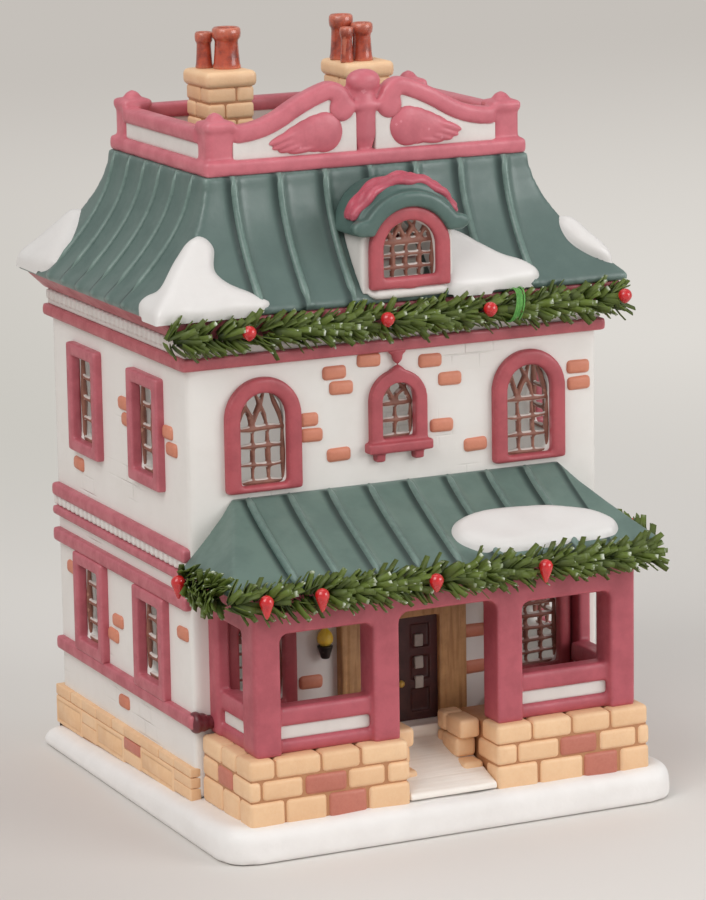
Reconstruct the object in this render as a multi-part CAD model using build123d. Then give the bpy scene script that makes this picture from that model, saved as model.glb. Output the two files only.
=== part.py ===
from build123d import *
import math
import os

# A ceramic village house, in millimetres. +Z is up, the front faces -Y, and the
# origin is the centre of the base's flat underside.

# Base
BASE_SIDE_MARGIN = 6.5
BASE_FRONT_MARGIN = 4.0
BASE_FRONT_HEIGHT = 9.8
BASE_BACK_HEIGHT = 5.2
BASE_CORNER_RADIUS = 9.0
BASE_EDGE_RADIUS = 3.5

# Walls
BODY_WIDTH = 120.0
BODY_DEPTH = 96.0
BODY_BACK_SETBACK = 1.0
WALL = 4.0

# Stone foundation on the side and rear walls
STONE_TOP = 17.0
STONE_BED = 0.8
STONE_PROUD = 1.7
STONE_JOINT = 0.8
STONE_COURSE = 6.2
STONE_LENGTHS = (14.0, 9.0, 16.5, 11.0, 13.0, 8.0)

# Cornice, from the thin lower band up to the fascia under the eave
CORNICE_BAND_HEIGHT = 3.1
CORNICE_BAND_PROUD = 2.0
FRIEZE_HEIGHT = 4.5
FRIEZE_PROUD = 0.8
DENTIL_PROUD = 1.0
DENTIL_WIDTH = 1.8
DENTIL_PITCH = 3.2
DENTIL_HEIGHT = 2.6
FASCIA_HEIGHT = 5.5
FASCIA_FRONT_PROUD = 2.5
FASCIA_EAVE_INSET = 2.0

# Belt bands of the side walls, stacked from the sill band up
SILL_BAND_BOTTOM = 28.1
SILL_BAND_HEIGHT = 3.4
LOWER_WINDOW_HEIGHT = 28.0
LOWER_BELT_HEIGHT = 3.5
BELT_GAP = 4.1
THIN_BELT_HEIGHT = 2.2
BELT_DENTIL_HEIGHT = 3.2
UPPER_BELT_HEIGHT = 3.5
BELT_PROUD = 1.8
BELT_RETURN = 3.2
BELT_DENTIL_GAP = 0.5

# Windows
FRAME_PROUD = 2.2
LATTICE_THICK = 1.8
LATTICE_REVEAL = 0.6
LATTICE_BAR = 1.5
GLAZE_GAP = 0.05
SIDE_WINDOW_EDGE = 26.3
SIDE_WINDOW_OPENING = 14.2
SIDE_WINDOW_BORDER = 3.4
SIDE_WINDOW_GAP = 4.8
SIDE_WINDOW_HEIGHT = 30.3
ARCH_WINDOW_EDGE = 21.0
ARCH_WINDOW_OPENING = 13.4
ARCH_WINDOW_BORDER = 4.05
ARCH_WINDOW_GAP = 3.4
ARCH_WINDOW_HEIGHT = 30.3
ARCH_WINDOW_LIFT = 1.5
ARCH_WINDOW_FOOT = 1.8
CENTRE_WINDOW_OPENING = 9.8
CENTRE_WINDOW_BORDER = 3.3
CENTRE_WINDOW_GAP = 5.2
CENTRE_WINDOW_HEIGHT = 19.2
CENTRE_WINDOW_FOOT = 1.0
CENTRE_SPIKE_WIDTH = 4.4
CENTRE_SILL_WIDTH = 18.6
CENTRE_SILL_HEIGHT = 2.6
CENTRE_SILL_PROUD = 3.2
CENTRE_BRACKET_WIDTH = 2.6
CENTRE_BRACKET_HEIGHT = 2.4
CENTRE_BRACKET_X = 5.6
GROUND_WINDOW_SIDE = 9.0
GROUND_WINDOW_BORDER = 3.5
GROUND_WINDOW_LIFT = 2.5
GROUND_WINDOW_GAP = 1.6

# Painted bricks that stand out of the rendered walls. Along the wall, each place is a share of its
# half length. Upper bricks are measured down from the cornice band, lower side ones up from the sill
# band, and rear ones up from the underside. Front ones of the ground floor have a side, a distance out
# from the pilaster, and a height above the plinth.
BRICK_LENGTH = 7.0
BRICK_HEIGHT = 3.8
BRICK_PROUD = 0.9
FRONT_UPPER_BRICKS = (
    (-0.3, 4.4), (-0.268, 8.6), (-0.438, 16.2), (-0.418, 20.4), (-0.285, 26.4), (-0.133, 2.0), (0.167, 3.8),
    (0.263, 9.2), (0.907, 9.7), (0.91, 14.2), (0.22, 21.6), (0.387, 27.8),
)
FRONT_LOWER_BRICKS = ((-1, 7.9, 9.7), (1, 3.8, 17.8), (1, 3.8, 7.7))
SIDE_UPPER_BRICKS = ((0.104, 16.0), (0.146, 20.2), (0.725, 18.4), (0.783, 22.6), (-0.617, 39.0))
SIDE_LOWER_BRICKS = ((-0.775, 25.1), (-0.077, 17.2), (-0.152, 12.5), (0.875, 24.2), (-0.017, -4.9))
REAR_BRICKS = (
    (-0.633, 104.0), (-0.575, 99.8), (0.45, 112.0), (0.683, 70.0), (0.742, 65.8), (-0.4, 52.0), (-0.767, 30.0),
)

# Front door and its surround
DOOR_WIDTH = 21.0
DOOR_HEIGHT = 29.0
DOOR_THICK = 1.6
DOOR_RAIL = 2.4
DOOR_PANEL_DEPTH = 0.7
PILASTER_WIDTH = 8.0
PILASTER_THICK = 3.0
FLUTE_WIDTH = 0.7
FLUTE_COUNT = 4
LINTEL_HEIGHT = 3.0
KNOB_RADIUS = 1.0
KNOB_STEM = 0.9
KNOB_LIFT = 11.0
LANTERN_BAY = 12.5
LANTERN_PLACES = (-4.5, 9.7)
LANTERN_LIFT = 20.7
LANTERN_CUP_HEIGHT = 3.6
LANTERN_GLASS_HEIGHT = 5.4
LANTERN_RADIUS = 2.2
LANTERN_TAPER = 0.7

# Porch
PORCH_DEPTH = 32.0
PLINTH_INNER = 12.7
PLINTH_SETBACK = 1.4
PLINTH_TOP = 26.5
PLINTH_COURSES = 3
PLINTH_BRICK = 11.6
PLINTH_JOINT = 0.7
PLINTH_BRICK_PROUD = 1.2
LANDING_TOP = 22.0
LANDING_DEPTH = 7.0
LANDING_SIDE = 5.5
LANDING_STEP = 2.8
RAMP_STEP = 1.6
RAMP_BOARDS = 8
RAMP_GROOVE = 0.5
POST_WIDTH = 7.2
POST_DEPTH = 8.5
POST_SETBACK = 2.5
OUTER_POST_EDGE = 6.8
INNER_POST_EDGE = 5.4
WALL_POST_WIDTH = 3.6
WALL_POST_DEPTH = 5.0
BALUSTER_BOTTOM_RAIL = 3.4
BALUSTER_PANEL = 3.8
BALUSTER_TOP_RAIL = 4.8
BALUSTER_RAIL_DEPTH = 5.4
BALUSTER_PANEL_DEPTH = 3.6
POST_HEIGHT = 30.0
BEAM_HEIGHT = 13.5
SIDE_BAY_RISE = 2.1
MIDDLE_BAY_RISE = 3.7
BAY_CORNER_RADIUS = 3.0

# Porch roof
PORCH_ROOF_SIDE_OVERHANG = 2.5
PORCH_ROOF_HIP_RUN = 14.5
PORCH_ROOF_OVERHANG = 0.6
PORCH_ROOF_RISE = 16.8
PORCH_ROOF_EDGE = 1.4
PORCH_ROOF_SHELL = 3.5
PORCH_ROOF_LIP = 1.2
PORCH_HOLLOW_TOP = 0.4
PORCH_ROOF_FLARE = 1.15
PORCH_SEAM_PITCH = 11.6
PORCH_SEAM_START = 2.5

# Mansard roof
EAVE_SIDE_OVERHANG = 8.6
EAVE_FRONT_OVERHANG = 3.5
EAVE_EDGE = 1.8
ROOF_SIDE_RUN = 21.2
ROOF_FRONT_RUN = 17.65
ROOF_HEAD = 2.8
ROOF_FLARE = 1.8
ROOF_LEVELS = 8
ROOF_SHELL = 4.0
SEAM_WIDTH = 2.2
SEAM_HEIGHT = 1.1
SEAM_ROOT = 1.0
SEAM_EDGE = 4.0
FRONT_SEAM_PITCH = 13.2
SIDE_SEAM_PITCH = 10.8

# Dormer
DORMER_X = 2.5
DORMER_SETBACK = 0.6
DORMER_LIFT = 0.3
DORMER_CHEEK = 1.8
DORMER_HEAD = 3.6
DORMER_HOOD_THICK = 2.4
DORMER_HOOD_FOOT = 3.0
DORMER_RIM_GAP = 0.2
DORMER_RIM_THICK = 3.7
DORMER_RIM_DEPTH = 3.2
DORMER_RIM_TOE = (3.2, 1.9)
DORMER_RIM_TOE_OUT = 1.2
DORMER_RUN = 34.0
DORMER_OPENING = 15.6
DORMER_BORDER = 3.8
DORMER_FRAME_FOOT = 3.0
DORMER_FRAME_LIFT = 0.9
DORMER_FRAME_HEIGHT = 22.8
RIBBON_WIDTH = 6.0
RIBBON_SETBACK = 0.2
RIBBON_THICK = 1.4
RIBBON_SPAN = 62.0

# Parapet round the flat top of the roof
CURB_WIDTH = 8.4
CURB_HEIGHT = 3.5
CURB_INSET = 0.5
PARAPET_PANEL_HEIGHT = 4.7
PARAPET_PANEL_THICK = 3.0
PARAPET_PANEL_INSET = 1.4
PARAPET_RAIL_HEIGHT = 3.5
PARAPET_RAIL_WIDTH = 4.6
PARAPET_POST = 7.0
PARAPET_POST_INSET = 1.5
POST_CAP_OVERHANG = 0.6
POST_CAP_HEIGHT = 2.1
POST_BALL_RADIUS = 2.2
SCROLL_WIDTH = 4.2
SCROLL_DEPTH = 4.6
SCROLL_LOW_RISE = 6.9
SCROLL_TURN_X = 23.0
SCROLL_TURN_RISE = 11.1
SCROLL_CREST_X = 11.2
SCROLL_CREST_RISE = 16.5
SCROLL_END_X = 6.9
SCROLL_END_RISE = 11.9
SCROLL_DISC = 3.4
CENTRE_POST_WIDTH = 5.4
CENTRE_POST_HEIGHT = 14.7
CENTRE_CAP_WIDTH = 9.2
CENTRE_CAP_EDGE = 1.9
CENTRE_CAP_RISE = 4.9
CENTRE_CAP_OVERHANG = 0.6
LEAF_PROUD = 1.4
LEAF_BLADES = ((0.36, 6.1, 6.4, 5.4, -10.0), (0.53, 4.8, 9.4, 3.3, -20.0), (0.53, 2.6, 8.0, 2.0, -4.0))

# Chimneys and their clay pots: each pot is x, y, radius, collar radius, height
CHIMNEY_SIDE_GAP = 17.8
CHIMNEY_GAP = 0.2
STACK_WIDTH = 13.6
STACK_DEPTH = 15.6
STACK_HEIGHT = 17.6
STACK_COURSES = 4
STACK_JOINT = 0.7
STACK_JOINT_DEPTH = 0.6
STACK_CAP_OVERHANG = 0.8
STACK_CAP_HEIGHT = 4.2
STACK_CAP_RADIUS = 1.3
LEFT_POTS = ((2.2, 0.0, 3.3, 4.0, 11.2), (-2.6, 4.4, 2.0, 2.5, 9.8))
RIGHT_POTS = ((-3.6, 2.4, 2.4, 3.4, 12.4), (-5.26, -4.6, 1.5, 1.9, 9.6), (0.2, -2.9, 2.8, 3.1, 10.4))
POT_COLLAR = 2.4
POT_FLUE_WALL = 0.9

# Snow lying on the roofs
SNOW_THICK = 2.0
SNOW_CORNER = 1.2
SNOW_CORNER_SHARE = 0.9
FRONT_STAR = (15.5, 29.5, 0.58)
BACK_STAR = (23.0, 15.0, 0.5)
STAR_NOTCH = 0.24
STAR_SIDE_SHARE = 0.34
STAR_FRONT_SHARE = 0.41
STAR_TIP = 2.6
HIP_SNOW = ((0.08, 2.0, 0.0), (0.1, -1.0, 4.0), (0.4, -1.0, 5.0), (0.55, 1.0, 1.0), (0.4, 5.0, -1.0))
DORMER_SNOW = ((0.0, 0.0), (25.0, 0.01), (25.6, 0.1), (15.3, 0.22), (7.0, 0.42), (0.0, 0.5))
PORCH_SNOW_X = 29.3
PORCH_SNOW_HALF = 23.5
PORCH_SNOW_RUN = (0.08, 0.49)

# Garlands: a core with flat needles, and berries on short stems
GARLAND_CORE = 3.0
NEEDLE_LENGTH = 5.0
NEEDLE_RADIUS = 0.75
NEEDLE_LEAN = 30.0
NEEDLE_PITCH = 1.7
NEEDLE_ANGLES = ((68.0, -22.0), (12.0, -74.0), (42.0, -48.0))
UPPER_GARLAND_INSET = 0.6
UPPER_GARLAND_LIFT = 2.6
LOWER_GARLAND_END = 2.4
BERRY_RADIUS = 1.75
BERRY_STEM_RADIUS = 0.5
BERRY_STEM = 2.6
BERRY_ROOM = (-6.0, 3.2)
UPPER_BERRIES = (-0.676, -0.096, 0.346, 0.941)
LOWER_BERRIES = (-0.855, -0.616, -0.117, 0.373)
SIDE_BERRIES = (0.633,)

# Clip-in lamp in the rear wall
LAMP_HOLE_RADIUS = 14.3
LAMP_HEIGHT = 37.0
LAMP_CLEARANCE = 0.3
LAMP_FLANGE_RADIUS = 17.0
LAMP_FLANGE_THICK = 1.6
LAMP_BARREL_RADIUS = 10.0
LAMP_BARREL_LENGTH = 30.0
LAMP_TAIL_RADIUS = 7.5
LAMP_TAIL_LENGTH = 8.0
CORD_INLET_RADIUS = 3.2
CORD_INLET_DEPTH = 8.0
BULB_BASE_RADIUS = 6.0
BULB_BASE_LENGTH = 17.0
BULB_THREAD_PITCH = 2.5
BULB_THREAD_DEPTH = 0.4
BULB_FIT = 0.05
BULB_RADIUS = 11.1
BULB_LENGTH = 36.0
BULB_NECK_RADIUS = 5.0
BULB_GLASS = 0.8
BULB_BELLY = 0.52
BULB_SWELL = 0.7
BULB_CROWN = 0.4
CLIP_WIDTH = 6.0
CLIP_THICK = 0.5
CLIP_BOW = 3.0
CLIP_LENGTH = 17.0

# Plan, worked out from the sizes above
BASE_WIDTH = BODY_WIDTH + 2 * BASE_SIDE_MARGIN
BASE_DEPTH = BASE_FRONT_MARGIN + PORCH_DEPTH + BODY_DEPTH + BODY_BACK_SETBACK
HOUSE_BACK = BASE_DEPTH / 2 - BODY_BACK_SETBACK
HOUSE_FRONT = HOUSE_BACK - BODY_DEPTH
HOUSE_MID = (HOUSE_FRONT + HOUSE_BACK) / 2
HALF = BODY_WIDTH / 2
EAVE_HALF = HALF + EAVE_SIDE_OVERHANG
EAVE_HALF_DEPTH = BODY_DEPTH / 2 + EAVE_FRONT_OVERHANG
EAVE_FRONT = HOUSE_MID - EAVE_HALF_DEPTH
ROOF_TOP_HALF = EAVE_HALF - ROOF_SIDE_RUN
ROOF_TOP_HALF_DEPTH = EAVE_HALF_DEPTH - ROOF_FRONT_RUN
PORCH_FRONT = HOUSE_FRONT - PORCH_DEPTH
POST_FRONT = PORCH_FRONT + POST_SETBACK
POST_BACK = POST_FRONT + POST_DEPTH
PORCH_EAVE = PORCH_FRONT - PORCH_ROOF_OVERHANG
PORCH_ROOF_EAVE_HALF = HALF + PORCH_ROOF_SIDE_OVERHANG
PORCH_ROOF_TOP_HALF = PORCH_ROOF_EAVE_HALF - PORCH_ROOF_HIP_RUN
PLINTH_OUTER = HALF - PLINTH_SETBACK
OUTER_POST_X = PLINTH_OUTER - OUTER_POST_EDGE
INNER_POST_X = PLINTH_INNER + INNER_POST_EDGE
LANDING_HALF = DOOR_WIDTH / 2 + PILASTER_WIDTH + LANDING_SIDE
SIDE_WINDOW_X = BODY_DEPTH / 2 - SIDE_WINDOW_EDGE
ARCH_WINDOW_X = HALF - ARCH_WINDOW_EDGE
BAY_START = DOOR_WIDTH / 2 + PILASTER_WIDTH
BAY_END = BAY_START + LANTERN_BAY
GROUND_WINDOW_X = (BAY_END + HALF - GROUND_WINDOW_SIDE) / 2
GROUND_WINDOW_OPENING = HALF - GROUND_WINDOW_SIDE - BAY_END - 2 * GROUND_WINDOW_BORDER
LAMP_BORE_RADIUS = BULB_BASE_RADIUS + BULB_FIT
REACH = 400.0

# Heights of the front, stacked from the porch's plinth up to the cornice and the eave
BEAM_BOTTOM = PLINTH_TOP + POST_HEIGHT
BEAM_TOP = BEAM_BOTTOM + BEAM_HEIGHT
SIDE_BAY_TOP = BEAM_BOTTOM + SIDE_BAY_RISE
MIDDLE_BAY_TOP = BEAM_BOTTOM + MIDDLE_BAY_RISE
PORCH_ROOF_TOP = BEAM_TOP + PORCH_ROOF_EDGE + PORCH_ROOF_RISE
ARCH_WINDOW_BOTTOM = PORCH_ROOF_TOP + ARCH_WINDOW_LIFT
CORNICE_BAND_BOTTOM = ARCH_WINDOW_BOTTOM + ARCH_WINDOW_HEIGHT + ARCH_WINDOW_GAP
FRIEZE_BOTTOM = CORNICE_BAND_BOTTOM + CORNICE_BAND_HEIGHT
WALL_TOP = FRIEZE_BOTTOM + FRIEZE_HEIGHT
FASCIA_TOP = WALL_TOP + FASCIA_HEIGHT
EAVE_TOP = FASCIA_TOP + EAVE_EDGE
CENTRE_WINDOW_TOP = CORNICE_BAND_BOTTOM - CENTRE_WINDOW_GAP
CENTRE_WINDOW_BOTTOM = CENTRE_WINDOW_TOP - CENTRE_WINDOW_HEIGHT
GROUND_WINDOW_BOTTOM = PLINTH_TOP + GROUND_WINDOW_LIFT
GROUND_WINDOW_TOP = SIDE_BAY_TOP - GROUND_WINDOW_GAP
DOOR_TOP = LANDING_TOP + DOOR_HEIGHT
RAMP_TOP = LANDING_TOP - LANDING_STEP
RAMP_FOOT = BASE_FRONT_HEIGHT + RAMP_STEP

# Heights of the side walls' belts and windows
LOWER_WINDOW_BOTTOM = SILL_BAND_BOTTOM + SILL_BAND_HEIGHT
LOWER_BELT_BOTTOM = LOWER_WINDOW_BOTTOM + LOWER_WINDOW_HEIGHT
THIN_BELT_BOTTOM = LOWER_BELT_BOTTOM + LOWER_BELT_HEIGHT + BELT_GAP
BELT_DENTIL_BOTTOM = THIN_BELT_BOTTOM + THIN_BELT_HEIGHT
UPPER_BELT_BOTTOM = BELT_DENTIL_BOTTOM + BELT_DENTIL_HEIGHT
SIDE_WINDOW_TOP = CORNICE_BAND_BOTTOM - SIDE_WINDOW_GAP
SIDE_WINDOW_BOTTOM = SIDE_WINDOW_TOP - SIDE_WINDOW_HEIGHT

# Heights of the dormer, the roof's flat top and the curb on it
DORMER_BOTTOM = EAVE_TOP + DORMER_LIFT
DORMER_FRAME_BOTTOM = EAVE_TOP + DORMER_FRAME_LIFT
DORMER_FRAME_TOP = DORMER_FRAME_BOTTOM + DORMER_FRAME_HEIGHT
DORMER_HALF_WIDTH = DORMER_OPENING / 2 + DORMER_BORDER + DORMER_CHEEK
DORMER_TOP = DORMER_FRAME_TOP + DORMER_HEAD
DORMER_ARCH_CENTRE = DORMER_TOP - DORMER_HALF_WIDTH
ROOF_TOP = DORMER_TOP + DORMER_HOOD_THICK + ROOF_HEAD
CURB_TOP = ROOF_TOP + CURB_HEIGHT
PARAPET_PANEL_TOP = CURB_TOP + PARAPET_PANEL_HEIGHT
STACK_TOP = ROOF_TOP + STACK_HEIGHT

FRONT = Plane(origin=(0, HOUSE_FRONT, 0), x_dir=(1, 0, 0), z_dir=(0, -1, 0))
LEFT = Plane(origin=(-HALF, HOUSE_MID, 0), x_dir=(0, -1, 0), z_dir=(-1, 0, 0))
RIGHT = Plane(origin=(HALF, HOUSE_MID, 0), x_dir=(0, 1, 0), z_dir=(1, 0, 0))
REAR = Plane(origin=(0, HOUSE_BACK, 0), x_dir=(-1, 0, 0), z_dir=(0, 1, 0))
LAMP = Plane(origin=(0, HOUSE_BACK, LAMP_HEIGHT), x_dir=(1, 0, 0), z_dir=(0, -1, 0))


def save(name, shape):
    export_step(shape, f"parts/{name}.step")


def block(x_low, x_high, y_low, y_high, z_low, z_high):
    centre = Pos((x_low + x_high) / 2, (y_low + y_high) / 2, (z_low + z_high) / 2)
    return centre * Box(x_high - x_low, y_high - y_low, z_high - z_low)


def raised(plane, sketch, depth, start=0.0):
    return extrude(plane.offset(start) * sketch, amount=depth)


def group(solids):
    return Compound(children=[piece for solid in solids for piece in solid.solids()])


# Flat outlines, drawn with the wall's run as X and height as Y

def bar_outline(x_low, x_high, low, high):
    return Pos((x_low + x_high) / 2, (low + high) / 2) * Rectangle(x_high - x_low, high - low)


def square_outline(x, width, low, high):
    return bar_outline(x - width / 2, x + width / 2, low, high)


def arch_outline(x, width, low, high):
    spring = high - width / 2
    return square_outline(x, width, low, spring) + Pos(x, spring) * Circle(width / 2)


def lattice_outline(outline, x, width, low, high, columns, rows):
    inner = outline(x, width - 2 * LATTICE_BAR, low + LATTICE_BAR, high - LATTICE_BAR)
    pane_width = (width - LATTICE_BAR * (columns + 1)) / columns
    pane_height = (high - low - LATTICE_BAR * (rows + 1)) / rows
    panes = Sketch()
    for column in range(columns):
        pane_x = x - width / 2 + LATTICE_BAR + pane_width / 2 + column * (pane_width + LATTICE_BAR)
        for row in range(rows):
            pane_low = low + LATTICE_BAR + row * (pane_height + LATTICE_BAR)
            panes += square_outline(pane_x, pane_width, pane_low, pane_low + pane_height)
    seat = outline(x, width - 2 * GLAZE_GAP, low, high - GLAZE_GAP)
    return seat - (panes & inner)


# The snow ground: everything that stands on it is trimmed to its sloping top

def ground(low):
    half = BASE_DEPTH / 2
    profile = Polyline((-half, low), (half, low), (half, BASE_BACK_HEIGHT), (-half, BASE_FRONT_HEIGHT),
                       close=True)
    side = Plane(origin=(-REACH / 2, 0, 0), x_dir=(0, 1, 0), z_dir=(1, 0, 0))
    return extrude(side * make_face(profile), amount=REACH)


def make_base():
    plan = Rectangle(BASE_WIDTH, BASE_DEPTH)
    plan = fillet(plan.vertices().sort_by(Axis.Y)[:2], BASE_CORNER_RADIUS)
    slab = extrude(plan, amount=BASE_FRONT_HEIGHT * 2) & ground(0.0)
    top_edges = slab.faces().sort_by(Axis.Z)[-1].edges()
    rear_y = BASE_DEPTH / 2 - BASE_EDGE_RADIUS
    soft_edges = [edge for edge in top_edges if edge.center().Y < rear_y]
    return fillet(soft_edges, BASE_EDGE_RADIUS)


def on_ground(solid):
    return solid - ground(-REACH)


# Windows: each is its wall, outline, centre, width and height of the hole, and its frame's outline

def side_windows():
    rows = ((SIDE_WINDOW_BOTTOM, SIDE_WINDOW_TOP), (LOWER_WINDOW_BOTTOM, LOWER_BELT_BOTTOM))
    return [(x, low, high) for low, high in rows for x in (-SIDE_WINDOW_X, SIDE_WINDOW_X)]


def side_hole(x, low, high):
    return (x, SIDE_WINDOW_OPENING, low + SIDE_WINDOW_BORDER, high - SIDE_WINDOW_BORDER)


ARCH_HOLE = (ARCH_WINDOW_OPENING, ARCH_WINDOW_BOTTOM + ARCH_WINDOW_FOOT,
             ARCH_WINDOW_BOTTOM + ARCH_WINDOW_HEIGHT - ARCH_WINDOW_BORDER)
CENTRE_HOLE = (CENTRE_WINDOW_OPENING, CENTRE_WINDOW_BOTTOM + CENTRE_WINDOW_FOOT,
               CENTRE_WINDOW_TOP - CENTRE_WINDOW_BORDER)
GROUND_HOLE = (GROUND_WINDOW_OPENING, GROUND_WINDOW_BOTTOM + GROUND_WINDOW_BORDER,
               GROUND_WINDOW_TOP - GROUND_WINDOW_BORDER)
DORMER_HOLE = (DORMER_OPENING, DORMER_FRAME_BOTTOM + DORMER_FRAME_FOOT, DORMER_FRAME_TOP - DORMER_BORDER)


def make_shell():
    outer = block(-HALF, HALF, HOUSE_FRONT, HOUSE_BACK, 0, WALL_TOP)
    room = block(-HALF + WALL, HALF - WALL, HOUSE_FRONT + WALL, HOUSE_BACK - WALL, -REACH, REACH)
    holes = []
    for plane in (LEFT, RIGHT):
        holes += [raised(plane, square_outline(*side_hole(*window)), -WALL) for window in side_windows()]
    for x in (-ARCH_WINDOW_X, ARCH_WINDOW_X):
        holes.append(raised(FRONT, arch_outline(x, *ARCH_HOLE), -WALL))
    for x in (-GROUND_WINDOW_X, GROUND_WINDOW_X):
        holes.append(raised(FRONT, square_outline(x, *GROUND_HOLE), -WALL))
    holes.append(raised(FRONT, arch_outline(0, *CENTRE_HOLE), -WALL))
    holes.append(raised(REAR, Pos(0, LAMP_HEIGHT) * Circle(LAMP_HOLE_RADIUS), -WALL))
    return on_ground(outer - room - holes)


def lattice(plane, outline, columns, rows, x, width, low, high):
    sketch = lattice_outline(outline, x, width, low, high, columns, rows)
    return raised(plane, sketch, -LATTICE_THICK, -LATTICE_REVEAL)


def make_side_frames(plane):
    frames = []
    for x, low, high in side_windows():
        outer = square_outline(x, SIDE_WINDOW_OPENING + 2 * SIDE_WINDOW_BORDER, low, high)
        frames.append(raised(plane, outer - square_outline(*side_hole(x, low, high)), FRAME_PROUD))
    return group(frames)


def make_side_lattices(plane):
    return group([lattice(plane, square_outline, 2, 5, *side_hole(*window)) for window in side_windows()])


def make_front_lattices(outline, x, hole):
    return group([lattice(FRONT, outline, 3, 5, place, *hole) for place in (-x, x)])


def arch_frame(x):
    width = ARCH_WINDOW_OPENING + 2 * ARCH_WINDOW_BORDER
    outer = arch_outline(x, width, ARCH_WINDOW_BOTTOM, ARCH_WINDOW_BOTTOM + ARCH_WINDOW_HEIGHT)
    return raised(FRONT, outer - arch_outline(x, *ARCH_HOLE), FRAME_PROUD)


def make_centre_frame():
    width = CENTRE_WINDOW_OPENING + 2 * CENTRE_WINDOW_BORDER
    outer = arch_outline(0, width, CENTRE_WINDOW_BOTTOM, CENTRE_WINDOW_TOP)
    spike_low = CENTRE_WINDOW_TOP - CENTRE_WINDOW_BORDER / 2
    spike = make_face(Polyline(
        (-CENTRE_SPIKE_WIDTH / 2, spike_low), (CENTRE_SPIKE_WIDTH / 2, spike_low),
        (CENTRE_SPIKE_WIDTH / 8, CORNICE_BAND_BOTTOM),
        (-CENTRE_SPIKE_WIDTH / 8, CORNICE_BAND_BOTTOM), close=True))
    return raised(FRONT, outer + spike - arch_outline(0, *CENTRE_HOLE), FRAME_PROUD)


def make_centre_sill():
    low = CENTRE_WINDOW_BOTTOM - CENTRE_SILL_HEIGHT
    sill = raised(FRONT, square_outline(0, CENTRE_SILL_WIDTH, low, CENTRE_WINDOW_BOTTOM), CENTRE_SILL_PROUD)
    for x in (-CENTRE_BRACKET_X, CENTRE_BRACKET_X):
        bracket = square_outline(x, CENTRE_BRACKET_WIDTH, low - CENTRE_BRACKET_HEIGHT, low)
        sill += raised(FRONT, bracket, FRAME_PROUD)
    return sill


def ground_frame(x):
    width = GROUND_WINDOW_OPENING + 2 * GROUND_WINDOW_BORDER
    outer = square_outline(x, width, GROUND_WINDOW_BOTTOM, GROUND_WINDOW_TOP)
    return raised(FRONT, outer - square_outline(x, *GROUND_HOLE), FRAME_PROUD)


# Wall trim

def brick(plane, x, height):
    outline = square_outline(x, BRICK_LENGTH, height - BRICK_HEIGHT / 2, height + BRICK_HEIGHT / 2)
    return raised(plane, outline, BRICK_PROUD)


def make_bricks(trim):
    half_depth = BODY_DEPTH / 2
    bricks = [brick(FRONT, share * HALF, CORNICE_BAND_BOTTOM - drop) for share, drop in FRONT_UPPER_BRICKS]
    for side, out, rise in FRONT_LOWER_BRICKS:
        bricks.append(brick(FRONT, side * (BAY_START + out), PLINTH_TOP + rise))
    bricks += [brick(REAR, share * HALF, height) for share, height in REAR_BRICKS]
    side_places = [(share, CORNICE_BAND_BOTTOM - drop) for share, drop in SIDE_UPPER_BRICKS]
    side_places += [(share, SILL_BAND_BOTTOM + rise) for share, rise in SIDE_LOWER_BRICKS]
    for share, height in side_places:
        bricks.append(brick(LEFT, share * half_depth, height))
        bricks.append(brick(RIGHT, -share * half_depth, height))
    return group([solid - trim for solid in bricks])


def stone_row(plane, length, low, high, first):
    stones = []
    x = -length / 2
    step = first
    while x < length / 2:
        x_end = min(x + STONE_LENGTHS[step % len(STONE_LENGTHS)], length / 2)
        if x_end - x > 2 * STONE_JOINT:
            stone = bar_outline(x, x_end - STONE_JOINT, low, high - STONE_JOINT)
            stones.append(raised(plane, stone, STONE_PROUD))
        x = x_end
        step += 1
    return stones


def make_stones(plane, length):
    bed = raised(plane, square_outline(0, length, 0, STONE_TOP), STONE_BED)
    middle = STONE_TOP - STONE_COURSE
    courses = stone_row(plane, length, middle, STONE_TOP + STONE_JOINT, 0)
    courses += stone_row(plane, length, 0, middle, 3)
    return on_ground(bed + courses)


def make_foundation():
    sides = [make_stones(plane, BODY_DEPTH) for plane in (LEFT, RIGHT)]
    return group(sides + [make_stones(REAR, BODY_WIDTH)])


def ring(low, high, proud):
    outer = block(-HALF - proud, HALF + proud, HOUSE_FRONT - proud, HOUSE_BACK + proud, low, high)
    return outer - block(-HALF, HALF, HOUSE_FRONT, HOUSE_BACK, low, high)


def make_frieze():
    frieze = ring(FRIEZE_BOTTOM, WALL_TOP, FRIEZE_PROUD)
    dentils = []
    low = WALL_TOP - DENTIL_HEIGHT
    for plane, length in ((FRONT, BODY_WIDTH), (REAR, BODY_WIDTH), (LEFT, BODY_DEPTH), (RIGHT, BODY_DEPTH)):
        count = int(length / DENTIL_PITCH)
        for step in range(count):
            x = (step - (count - 1) / 2) * DENTIL_PITCH
            dentil = square_outline(x, DENTIL_WIDTH, low, WALL_TOP)
            dentils.append(raised(plane, dentil, DENTIL_PROUD, FRIEZE_PROUD))
    return frieze + dentils


def make_fascia():
    foot_half = HALF + FRIEZE_PROUD
    top_half = EAVE_HALF - FASCIA_EAVE_INSET
    depth = BODY_DEPTH + 2 * FASCIA_FRONT_PROUD
    foot = Pos(0, HOUSE_MID, WALL_TOP) * Rectangle(2 * foot_half, depth)
    top = Pos(0, HOUSE_MID, FASCIA_TOP) * Rectangle(2 * top_half, depth)
    room = block(-HALF + WALL, HALF - WALL, HOUSE_FRONT + WALL, HOUSE_BACK - WALL, 0, REACH)
    return loft([foot, top], ruled=True) - room


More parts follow.
